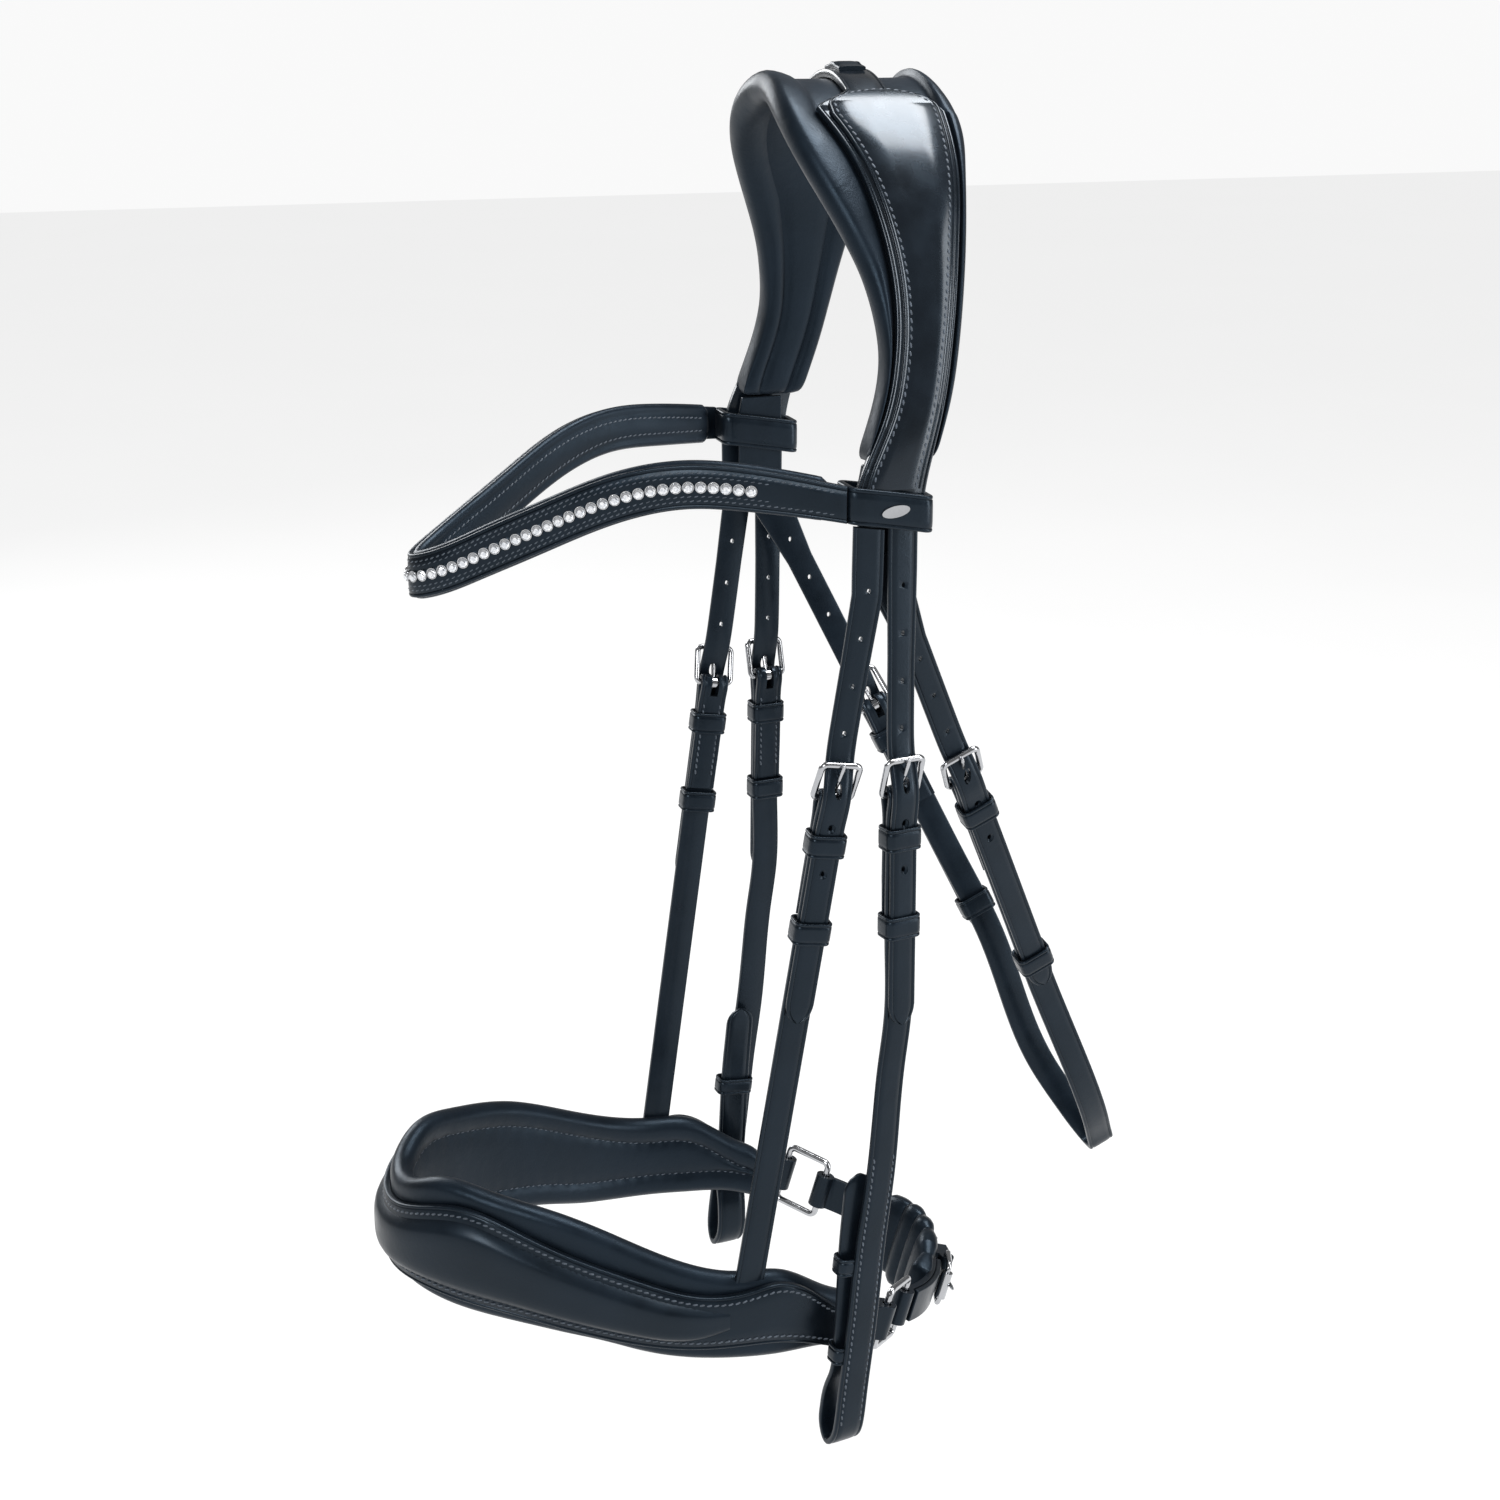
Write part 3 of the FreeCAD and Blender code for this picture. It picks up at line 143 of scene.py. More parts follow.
def leather(name, colour, rough, grain=1.0, coat=0.25, coat_rough=0.22, wrinkle=0.0, specular=0.28):
    """Dyed leather: pores, fine creases, uneven dye and polish, and convex edges painted lighter, partly real
    wear and partly a painted highlight.
    """
    material, tree, shader = new_material(name)
    place = add(tree, "ShaderNodeTexCoord").outputs["Object"]
    dye = noise(tree, place, 45, 4)
    dark = tuple(channel * 0.72 for channel in colour)
    light = tuple(channel * 1.35 for channel in colour)
    base = ramp(tree, dye, [(0.3, dark), (0.7, light)])
    # Painted highlight: convex edges (Pointiness) are painted lighter in patches. This is partly real edge
    # wear and partly stands in for the light lines that highlights draw along the edges.
    edge = add(tree, "ShaderNodeNewGeometry").outputs["Pointiness"]
    painted_edge_highlight_and_wear = ramp(tree, edge, [(0.52, grey(0)), (0.60, grey(1))])
    patches = noise(tree, place, 160, 3)
    wear_and_painted_highlight = mixed(tree, 1.0, painted_edge_highlight_and_wear, patches, "MULTIPLY")
    base = mixed(tree, wear_and_painted_highlight, base, tuple(channel * 2.4 + 0.004 for channel in colour))
    tree.links.new(base, shader.inputs["Base Color"])
    polish = ramp(tree, noise(tree, place, 90, 4), [(0.3, grey(rough - 0.07)), (0.7, grey(rough + 0.08))])
    tree.links.new(polish, shader.inputs["Roughness"])
    pores = add(tree, "ShaderNodeTexVoronoi", Scale=1500.0, feature="SMOOTH_F1")
    tree.links.new(place, pores.inputs["Vector"])
    heights = [(noise(tree, place, 2600, 3), 0.18 * grain, 0.00006),
               (pores.outputs["Distance"], 0.30 * grain, 0.00008),
               (noise(tree, place, 230, 4, 0.6), 0.25 * grain, 0.0003)]
    if wrinkle:
        heights.append((noise(tree, place, 75, 3, 1.2), wrinkle, 0.0012))
    bumped(tree, shader, heights)
    shader.inputs["Coat Weight"].default_value = coat
    shader.inputs["Coat Roughness"].default_value = coat_rough
    shader.inputs["Specular IOR Level"].default_value = specular
    shader.inputs["Specular Tint"].default_value = (0.50, 0.74, 1.0, 1)
    shader.inputs["Sheen Weight"].default_value = 0.015
    shader.inputs["Sheen Roughness"].default_value = 0.4
    return material


def metal(name, colour, rough):
    """Polished metal with faint scratches and smears."""
    material, tree, shader = new_material(name)
    place = add(tree, "ShaderNodeTexCoord").outputs["Object"]
    smear = ramp(tree, noise(tree, place, 260, 4), [(0.3, grey(rough)), (0.75, grey(rough + 0.1))])
    tree.links.new(smear, shader.inputs["Roughness"])
    tint = ramp(tree, noise(tree, place, 120, 3), [(0.3, tuple(c * 0.9 for c in colour)), (0.7, colour)])
    tree.links.new(tint, shader.inputs["Base Color"])
    bumped(tree, shader, [(noise(tree, place, 900, 5, 2.0), 0.08, 0.00005)])
    shader.inputs["Metallic"].default_value = 1.0
    return material


def crystal():
    """Foil-backed cut glass: bright facets of slightly different tone under a hard clear coat."""
    material, tree, shader = new_material("crystal")
    place = add(tree, "ShaderNodeTexCoord").outputs["Object"]
    tone = ramp(tree, noise(tree, place, 900, 2), [(0.35, (0.62, 0.65, 0.70)), (0.65, (0.95, 0.96, 0.98))])
    tree.links.new(tone, shader.inputs["Base Color"])
    shader.inputs["Metallic"].default_value = 0.75
    shader.inputs["Roughness"].default_value = 0.04
    shader.inputs["Coat Weight"].default_value = 1.0
    shader.inputs["Coat Roughness"].default_value = 0.02
    shader.inputs["Coat IOR"].default_value = 1.7
    return material


def thread():
    """Waxed twisted thread."""
    material, tree, shader = new_material("thread")
    place = add(tree, "ShaderNodeTexCoord").outputs["Object"]
    shades = [(0.3, (0.030, 0.042, 0.058)), (0.7, (0.085, 0.110, 0.145))]
    tone = ramp(tree, noise(tree, place, 700, 3), shades)
    tree.links.new(tone, shader.inputs["Base Color"])
    bumped(tree, shader, [(noise(tree, place, 5200, 2, 1.5), 0.5, 0.0001)])
    shader.inputs["Roughness"].default_value = 0.55
    shader.inputs["Sheen Weight"].default_value = 0.2
    return material


STRAP = leather("strap_leather", (0.0032, 0.0054, 0.0086), 0.34, coat=0.12, coat_rough=0.20)
CROWN = leather("crown_leather", (0.0032, 0.0054, 0.0086), 0.27, grain=0.6, coat=0.60, coat_rough=0.16)
PANEL = leather("panel_leather", (0.0033, 0.0056, 0.0090), 0.36, grain=0.9, coat=0.16, coat_rough=0.26)
PADDING = leather("padding_leather", (0.0040, 0.0066, 0.0106), 0.40, grain=1.2, coat=0.04, coat_rough=0.35,
                  wrinkle=0.12)
QUILT = leather("quilt_leather", (0.0033, 0.0056, 0.0090), 0.40, coat=0.06, wrinkle=0.25)
STEEL = metal("polished_steel", (0.50, 0.51, 0.53), 0.13)
CUP = metal("cup_metal", (0.60, 0.61, 0.63), 0.16)
CRYSTAL = crystal()
THREAD = thread()


# ---------------------------------------------------------------- curves and lofts (millimetres)

def spline(points, count=None, step=2.0):
    """Points evenly spaced along a natural cubic spline through the given ones."""
    points = np.array(points, float)
    gaps = np.linalg.norm(np.diff(points, axis=0), axis=1)
    knots = np.concatenate([[0], np.cumsum(gaps)])
    size = len(points)
    system = np.eye(size)
    right = np.zeros_like(points)
    for row in range(1, size - 1):
        system[row, row - 1] = gaps[row - 1]
        system[row, row] = 2 * (gaps[row - 1] + gaps[row])
        system[row, row + 1] = gaps[row]
        after = (points[row + 1] - points[row]) / gaps[row]
        before = (points[row] - points[row - 1]) / gaps[row - 1]
        right[row] = 6 * (after - before)
    bends = np.linalg.solve(system, right)
    count = count or max(int(knots[-1] / step), 4)
    places = np.linspace(0, knots[-1], count)
    index = np.clip(np.searchsorted(knots, places, side="right") - 1, 0, size - 2)
    gap = gaps[index][:, None]
    near = (places - knots[index])[:, None]
    far = gap - near
    return (bends[index] * far ** 3 + bends[index + 1] * near ** 3) / (6 * gap) \
        + (points[index] / gap - bends[index] * gap / 6) * far \
        + (points[index + 1] / gap - bends[index + 1] * gap / 6) * near


def at(line, place):
    """The second coordinate of a smooth line at a value of its first, whichever way it runs."""
    dense = spline(line, 240)
    order = np.argsort(dense[:, 0])
    return np.interp(place, dense[order, 0], dense[order, 1])


def unit_rows(vectors):
    return vectors / np.linalg.norm(vectors, axis=1, keepdims=True)


def directions(points):
    return unit_rows(np.gradient(points, axis=0))


def make_object(name, mesh, material, body=None):
    piece = bpy.data.objects.new(name, mesh)
    bpy.context.scene.collection.objects.link(piece)
    mesh.materials.append(material)
    if body:
        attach(piece, body)
    return piece


def smooth(mesh, angle=38):
    mesh.shade_smooth()
    mesh.set_sharp_from_angle(angle=math.radians(angle))


def loft(sections, ring=False):
    """A mesh through closed sections (stations, points, 3), in millimetres; ring joins last to first."""
    sections = np.array(sections, float) * MM
    stations, around = sections.shape[:2]
    faces = []
    for row in range(stations if ring else stations - 1):
        nxt = (row + 1) % stations
        for col in range(around):
            side = (col + 1) % around
            faces.append((row * around + col, row * around + side, nxt * around + side, nxt * around + col))
    if not ring:
        faces.append(tuple(reversed(range(around))))
        faces.append(tuple((stations - 1) * around + col for col in range(around)))
    mesh = bpy.data.meshes.new("loft")
    mesh.from_pydata(sections.reshape(-1, 3).tolist(), [], faces)
    solid = bmesh.new()
    solid.from_mesh(mesh)
    bmesh.ops.recalc_face_normals(solid, faces=solid.faces)
    solid.to_mesh(mesh)
    solid.free()
    smooth(mesh)
    return mesh


def joined(meshes):
    """One mesh from several."""
    solid = bmesh.new()
    for mesh in meshes:
        solid.from_mesh(mesh)
    whole = bpy.data.meshes.new("joined")
    solid.to_mesh(whole)
    solid.free()
    smooth(whole)
    return whole


def strap_profile(low, high, thick, crease=1.25, crown=0.10):
    """Across and out values round a strap: rounded edges, a creased line inside each, a low crown."""
    half = thick / 2
    width = high - low
    corner = min(0.7, thick * 0.34, width * 0.2)
    line = min(crease, width * 0.2) + corner * 0.4
    groove = 0.32 if crease else 0.0
    middle = (low + high) / 2
    points = []
    for centre, sign in ((high - corner, 1), (low + corner, -1)):
        arc = [math.radians(angle) for angle in (0, 30, 60, 90)]
        if sign < 0:
            arc = arc[::-1]
        edge = [(centre + sign * corner * math.cos(angle), half - corner + corner * math.sin(angle))
                for angle in arc]
        lip = [(centre + sign * (corner - line + shift), half - drop)
               for shift, drop in ((0.42, 0), (0, groove), (-0.42, 0))]
        points += edge + lip if sign > 0 else lip[::-1] + edge
        if sign > 0:
            points += [(middle + width * 0.2, half + crown), (middle - width * 0.2, half + crown)]
    for centre, sign in ((low + corner, -1), (high - corner, 1)):
        arc = [math.radians(angle) for angle in (0, 45, 90)]
        if sign > 0:
            arc = arc[::-1]
        points += [(centre + sign * corner * math.cos(angle), -half + corner - corner * math.sin(angle))
                   for angle in arc]
    return np.array(points)


def sweep(centres, across, out, profiles, ring=False):
    """Loft profiles of (across, out) values along centres; each station has its own directions."""
    sections = []
    for centre, side, face, profile in zip(centres, across, out, profiles):
        sections.append(centre + profile[:, :1] * side + profile[:, 1:] * face)
    return loft(sections, ring)


def punched(mesh, cutters):
    """The mesh with closed cutter meshes taken out of it."""
    target = bpy.data.objects.new("target", mesh)
    tool = bpy.data.objects.new("tool", joined(cutters))
    for item in (target, tool):
        bpy.context.scene.collection.objects.link(item)
    cut = target.modifiers.new("cut", "BOOLEAN")
    cut.object = tool
    cut.solver = "EXACT"
    bpy.context.view_layer.update()
    result = bpy.data.meshes.new_from_object(target.evaluated_get(bpy.context.evaluated_depsgraph_get()))
    for item in (target, tool):
        bpy.data.objects.remove(item)
    smooth(result)
    return result


ROD_SIDES = 20


def rod(centre, direction, rings):
    """An oval rod along a direction, from rings of (distance, half width, half height)."""
    axis = np.array(direction, float)
    up = np.array([0, 0, 1.0]) - axis * axis[2]
    up /= np.linalg.norm(up)
    side = np.cross(up, axis)
    turns = np.linspace(0, 2 * math.pi, ROD_SIDES, endpoint=False)
    sections = []
    for place, wide, tall in rings:
        middle = np.array(centre) + axis * place
        sections.append([middle + side * wide * math.cos(turn) + up * tall * math.sin(turn)
                         for turn in turns])
    return loft(sections)


STITCH_SLANT = math.radians(14.0)
STITCH_SINK = 0.05


def stitches(points, normals, pitch=2.7, length=2.0, radius=0.38):
    """A row of waxed stitches along a line, each a small slanted bead pressed into the leather."""
    points = np.array(points, float)
    gaps = np.linalg.norm(np.diff(points, axis=0), axis=1)
    knots = np.concatenate([[0], np.cumsum(gaps)])
    count = max(int(knots[-1] / pitch), 1)
    vertices = []
    faces = []
    rings = ((-0.5, 0.35), (-0.38, 0.85), (0.0, 1.0), (0.38, 0.85), (0.5, 0.35))
    sides = 6
    for index in range(count):
        place = (index + 0.5) * knots[-1] / count
        centre = np.array([np.interp(place, knots, points[:, axis]) for axis in range(3)])
        normal = np.array([np.interp(place, knots, normals[:, axis]) for axis in range(3)])
        ahead = np.array([np.interp(place + 0.5, knots, points[:, axis]) for axis in range(3)])
        behind = np.array([np.interp(place - 0.5, knots, points[:, axis]) for axis in range(3)])
        along = ahead - behind
        along /= np.linalg.norm(along)
        normal -= along * normal.dot(along)
        normal /= np.linalg.norm(normal)
        side = np.cross(normal, along)
        cos, sin = math.cos(STITCH_SLANT), math.sin(STITCH_SLANT)
        along, side = along * cos + side * sin, side * cos - along * sin
        first = len(vertices)
        for shift, scale in rings:
            middle = centre + along * shift * length - normal * (STITCH_SINK + 0.25 * (abs(shift) * 2) ** 3)
            for step in range(sides):
                angle = 2 * math.pi * step / sides
                outward = side * math.cos(angle) * 1.1 + normal * math.sin(angle)
                vertices.append(middle + radius * scale * outward)
        for row in range(len(rings) - 1):
            for step in range(sides):
                other = (step + 1) % sides
                base = first + row * sides
                faces.append((base + step, base + other, base + sides + other, base + sides + step))
        faces.append(tuple(first + step for step in reversed(range(sides))))
        faces.append(tuple(first + (len(rings) - 1) * sides + step for step in range(sides)))
    mesh = bpy.data.meshes.new("stitches")
    mesh.from_pydata((np.array(vertices) * MM).tolist(), [], faces)
    smooth(mesh, 80)
    return mesh


def leather_piece(name, mesh, material, slot, *nodes, body=None):
    """A leather piece that stands for CAD nodes and rides on their body."""
    piece = make_object(name, mesh, material, body or BODY_OF[nodes[0]])
    if nodes:
        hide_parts(*nodes)
    return piece


def stitch_piece(name, meshes, body):
    piece = make_object(name, joined(meshes), THREAD, body)
    return piece


# ---------------------------------------------------------------- buckled straps
#
# A buckled strap's own frame, read from its joints: X is the outer face, Y across, Z up the strap,
# and the buckle's heel bar lies on Y through the origin.

STRAP_THICK = 2.4
BILLET_THICK = 2.2
WIRE = 1.25
BAR_RISE = 4.8
FOLD = WIRE + 0.15 + STRAP_THICK
BILLET_OUT = FOLD + 0.3 + BILLET_THICK / 2
BILLET_FLAT = STRAP_THICK + 0.35 + BILLET_THICK / 2
BILLET_UNDER = BAR_RISE - WIRE - 0.45 - BILLET_THICK / 2
HOLE_STEP = 18.7
HOLE_LEVELS = [8 + HOLE_STEP * step for step in (4, 3, 2, 1, -1, -2)]


class Unit:
    """The frame of one buckled strap."""

    def __init__(self, kind, side):
        pin = JOINTS["%s_tongue_%s_turn" % (kind, side)]
        slide = JOINTS["%s_runner_%s_slide" % (kind, side)]
        self.origin = np.array(pin["pos_m"]) / MM
        self.y = np.array(pin["axis"])
        self.z = np.array(slide["axis"])
        self.x = np.cross(self.y, self.z)

    def place(self, points):
        """Local (x, y, z) points in the shared frame."""
        points = np.atleast_2d(points)
        return self.origin + points[:, :1] * self.x + points[:, 1:2] * self.y + points[:, 2:] * self.z


def run(unit, path, half, shift=lambda line: 0.0 * line[:, 1], thick=None, step=1.6, crease=1.25):
    """A strap along a path of local (x, z); half, shift and thick are numbers or follow the line."""
    line = spline(path, step=step)
    tangent = directions(line)
    centres = unit.place(np.column_stack([line[:, 0], shift(line), line[:, 1]]))
    out = -tangent[:, 1:] * unit.x + tangent[:, :1] * unit.z
    across = np.tile(unit.y, (len(line), 1))
    halves = half(line) if callable(half) else np.full(len(line), half)
    thicks = thick(line) if callable(thick) else np.full(len(line), thick or STRAP_THICK)
    profiles = [strap_profile(-h, h, t, crease) for h, t in zip(halves, thicks)]
    return sweep(centres, across, out, profiles)


def tip_half(tip, side, top=None, top_half=None):
    """Half width of a billet: full, and closing in a rounded point at its tip."""
    def half(line):
        level = line[:, 1]
        reach = np.clip((level - tip) / 9.0, 0.0, 1.0)
        round_off = np.sqrt(1 - (1 - reach) ** 2) ** 0.9
        width = side * np.maximum(round_off, 0.06)
        if top is not None:
            width = width + (top_half - side) * np.clip((level - top + 34) / 34.0, 0, 1)
        return width
    return half


def billet_holes(unit, levels):
    """Punched holes: dished where the punch pressed the face in, narrow right through."""
    holes = []
    for level in levels:
        middle = 1.3 if level > 20 else BILLET_FLAT
        centre = unit.place([[middle, 0, level]])[0]
        face = BILLET_THICK / 2
        rings = [(-3, 0.75, 1.05), (face - 0.65, 0.75, 1.05), (face - 0.1, 1.55, 1.95),
                 (face + 1.5, 1.8, 2.2)]
        holes.append(rod(centre, unit.x, rings))
    return holes


def billet(kind, side, top, tip, top_half, rise, lean=0.0):
    """The holed billet, carried on up inside the crown."""
    unit = Unit(kind, side)
    path = [(0.6, top + rise), (0.6, top), (0.6, top * 0.7), (0.6, 42), (0.7, 30), (BILLET_UNDER, 15),
            (BILLET_OUT - 0.3, 4), (BILLET_OUT, -2), (BILLET_FLAT + 0.4, -9), (BILLET_FLAT, -16),
            (BILLET_FLAT, -30), (BILLET_FLAT, tip * 0.6), (BILLET_FLAT, tip)]

    def shift(line):
        return lean * np.maximum(line[:, 1] - top + 8, 0)

    mesh = run(unit, path, tip_half(tip, 5.7, top, top_half), shift, BILLET_THICK)
    levels = [level for level in HOLE_LEVELS if level < top - 5]
    pin_hole = rod(unit.place([[2.5, 0, 5]])[0], unit.x, [(-6, 1.5, 3.4), (6, 1.5, 3.4)])
    mesh = punched(mesh, billet_holes(unit, levels) + [pin_hole])
    name = "%s_billet_%s" % (kind, side)
    piece = make_object(name + "_leather", mesh, STRAP)
    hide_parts(name)
    start, end = unit.place([[0.6, 0, top + rise * 0.8], [0.6, 0, top - 6]]) * MM
    tuple(start)
    tuple(end)
    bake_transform(piece)
    return piece


def folded_path(rest):
    """From the skived end inside, up round the buckle's bar, and down the outer face."""
    inner = [(-1.2, -48), (-1.2, -36), (-1.2, -22), (-1.25, -11), (-1.9, -5), (-2.6, 0)]
    over = [(-1.84, 1.84), (0, 2.6), (1.84, 1.84), (2.6, 0), (1.9, -5), (1.25, -11), (1.2, -22)]
    return inner + over + rest


def skived(line):
    """Thinner towards the turned-in end."""
    travelled = np.concatenate([[0], np.cumsum(np.linalg.norm(np.diff(line, axis=0), axis=1))])
    return 1.0 + (STRAP_THICK - 1.0) * np.clip(travelled / 14.0, 0, 1)


def eye_slot(unit):
    """A cutter for the gap that the tongue's eye sits in."""
    corners = [(-6, -1.7), (6, -1.7), (6, 1.7), (-6, 1.7)]
    return loft([unit.place([(x, y, z) for x, y in corners]) for z in (-5.5, 6)])


def rounded_outline(x_low, x_high, y_low, y_high, corner, radius, turn_step):
    """A rounded rectangle's points, at most about 2.5 mm apart, and the directions along it."""
    outline = []
    for x, y, start in ((x_high, y_high, 0), (x_low, y_high, 90), (x_low, y_low, 180), (x_high, y_low, 270)):
        inward_x = -1 if x == x_high else 1
        inward_y = -1 if y == y_high else 1
        for degrees in range(start, start + 91, turn_step):
            angle = math.radians(degrees)
            outline.append((x + inward_x * corner + radius * math.cos(angle),
                            y + inward_y * corner + radius * math.sin(angle)))
    outline = np.array(outline)
    dense = []
    for first, second in zip(outline, np.roll(outline, -1, axis=0)):
        steps = max(int(np.linalg.norm(second - first) / 2.5), 1)
        dense += [first + (second - first) * step / steps for step in range(steps)]
    dense = np.array(dense)
    return dense, unit_rows(np.roll(dense, -1, axis=0) - np.roll(dense, 1, axis=0))


KEEPER_WALL = 1.2


def keeper(unit, level, low, high, half, tall=9.0, shift=0.0, tilt=0.0):
    """A leather band round the strap, with rounded corners and a creased line at both edges."""
    corner = 1.6
    dense, tangent = rounded_outline(low, high, -half, half, corner, corner + KEEPER_WALL / 2, 18)
    normal = np.column_stack([tangent[:, 1], -tangent[:, 0]])
    turn = math.radians(tilt)
    up = unit.z * math.cos(turn) + unit.y * math.sin(turn)
    side = unit.y * math.cos(turn) - unit.z * math.sin(turn)
    middle = unit.place([[0, shift, level]])[0]
    centres = middle + dense[:, :1] * unit.x + dense[:, 1:] * side
    out = normal[:, :1] * unit.x + normal[:, 1:] * side
    across = np.tile(up, (len(dense), 1))
    profile = strap_profile(-tall / 2, tall / 2, KEEPER_WALL, crease=1.1, crown=0.05)
    return sweep(centres, across, out, [profile] * len(dense), ring=True)


def strap_keeper(unit, level):
    """A keeper that fits round the strap and the billet that lies on it."""
    gap = 0.40
    high = BILLET_FLAT + BILLET_THICK / 2 + gap
    return keeper(unit, level, -STRAP_THICK - 0.05 - gap, high, 6 + gap)


EDGE_INSET = 2.3


def edge_rows(unit, x, first, last, half, shift=lambda level: 0.0 * level, face=1):
    """Two stitch rows along both edges of a strap's face."""
    levels = np.linspace(first, last, max(int(abs(last - first) / 2), 4))
    meshes = []
    for sign in (1, -1):
        local = np.column_stack([np.full(len(levels), x), shift(levels) + sign * (half - EDGE_INSET), levels])
        meshes.append(stitches(unit.place(local), np.tile(unit.x * face, (len(levels), 1))))
    return meshes


# ---------------------------------------------------------------- cheekpieces

LOOP_TOP = -244.0
LOOP_BOTTOM = -277.0
LOOP_DEPTH = 14.0


SWEEP = [(12, 0), (-20, 0), (-60, 0), (-92, 0), (-112, 2.6), (-135, 4.8), (-160, 7.2), (-186, 11),
         (-222, 15), (-256, 19.5), (-284, 22.5)]
RETURN_LEAN = 6.5


def return_lean(level):
    """How much further forward the turned-back layer lies than the outer one."""
    return RETURN_LEAN * np.clip((level + 264) / 105.0, 0, 1)


def cheekpiece(sign, side):
    forward = -sign
    unit = Unit("cheek", side)
    outer = STRAP_THICK / 2
    inner = outer - 5.2
    path = folded_path([
        (outer, -60), (outer, -110), (outer, -160), (outer, -215), (outer, LOOP_TOP + 4),
        (outer, LOOP_TOP - 8), (outer - 0.1, LOOP_BOTTOM + 12),
        (outer - LOOP_DEPTH * 0.16, LOOP_BOTTOM + 4.2), (outer - LOOP_DEPTH * 0.45, LOOP_BOTTOM + 1.2),
        (outer - LOOP_DEPTH * 0.78, LOOP_BOTTOM + 5), (outer - LOOP_DEPTH * 0.86, LOOP_BOTTOM + 14),
        (inner - 4.2, LOOP_TOP - 8), (inner - 1.2, LOOP_TOP - 1), (inner - 0.1, LOOP_TOP + 6),
        (inner, LOOP_TOP + 16), (inner, -205), (inner, -182), (inner, -159)])

    def behind(line):
        """1 on the turned-back layer, 0 on the outer one."""
        return (np.arange(len(line)) > np.argmin(line[:, 1])) * 1.0

    def from_tip(line):
        travelled = np.cumsum(np.linalg.norm(np.diff(line[::-1], axis=0), axis=1))
        return np.concatenate([[0], travelled])[::-1]

    def shift(line):
        level = line[:, 1]
        return forward * (at(SWEEP, level) + behind(line) * return_lean(level))

    def thick(line):
        return np.minimum(skived(line), 1.4 + 1.0 * np.clip(from_tip(line) / 8.0, 0, 1))

    def half(line):
        full = 6.0 + 0.7 * np.clip((-130 - line[:, 1]) / 70.0, 0, 1)
        reach = np.clip((from_tip(line) + 0.1) / 7.0, 0, 1)
        return full * np.sqrt(1 - (1 - reach) ** 2)

    mesh = punched(run(unit, path, half, shift, thick), [eye_slot(unit)])
    name = "cheek_strap_" + side
    leather_piece(name + "_leather", mesh, STRAP, "strap_leather", name)
    rows = edge_rows(unit, STRAP_THICK + 0.04, -150, -266, 6.7, lambda level: forward * at(SWEEP, level))
    rows += edge_rows(unit, -STRAP_THICK - 0.04, -9, -42, 6.0, face=-1)
    stitch_piece("cheek_stitches_" + side, rows, "cheek_" + side)
    bands = [strap_keeper(unit, -17)]
    for level in (-197.0, LOOP_TOP + 8):
        centre = forward * (at(SWEEP, level) + return_lean(level))
        bands.append(keeper(unit, level, -5.2 - 0.9, 0.2, 7.3, tall=7.2, shift=float(centre),
                            tilt=sign * 7.1))
    leather_piece("cheek_keeper_bands_" + side, joined(bands), STRAP, "strap_leather",
                  "cheek_keepers_" + side)
    leather_piece("cheek_runner_band_" + side, strap_keeper(unit, -53), STRAP, "strap_leather",
                  "cheek_runner_" + side)
    billet("cheek", side, 88, -94, 6.2, 20)


# ---------------------------------------------------------------- noseband hangers

def hanger(sign, side):
    unit = Unit("hanger", side)
    outer = STRAP_THICK / 2
    path = folded_path([(outer, -60), (outer, -110), (outer, -165), (outer, -228)])
    mesh = run(unit, path, 6.0, thick=skived, step=2.0)
    mesh = punched(mesh, [eye_slot(unit)])
    stitch_piece("hanger_stitches_" + side, edge_rows(unit, -STRAP_THICK - 0.04, -9, -42, 6.0, face=-1),
                 "noseband")
    leather_piece("hanger_strap_%s_leather" % side, mesh, STRAP, "strap_leather", "hanger_strap_" + side)
    leather_piece("hanger_runner_band_" + side, strap_keeper(unit, -54), STRAP, "strap_leather",
                  "hanger_runner_" + side)
    billet("hanger", side, 88.6, -92, 6.2, 18, lean=-sign * 0.15)
    return strap_keeper(unit, -18)


# ---------------------------------------------------------------- throatlash

def throat_side(side):
    """A billet and runner; returns the fixed keeper."""
    unit = Unit("throat", side)
    billet("throat", side, 107, -116, 9.0, 8)
    leather_piece("throat_runner_band_" + side, strap_keeper(unit, -102), STRAP, "strap_leather",
                  "throat_runner_" + side)
    return strap_keeper(unit, -16)


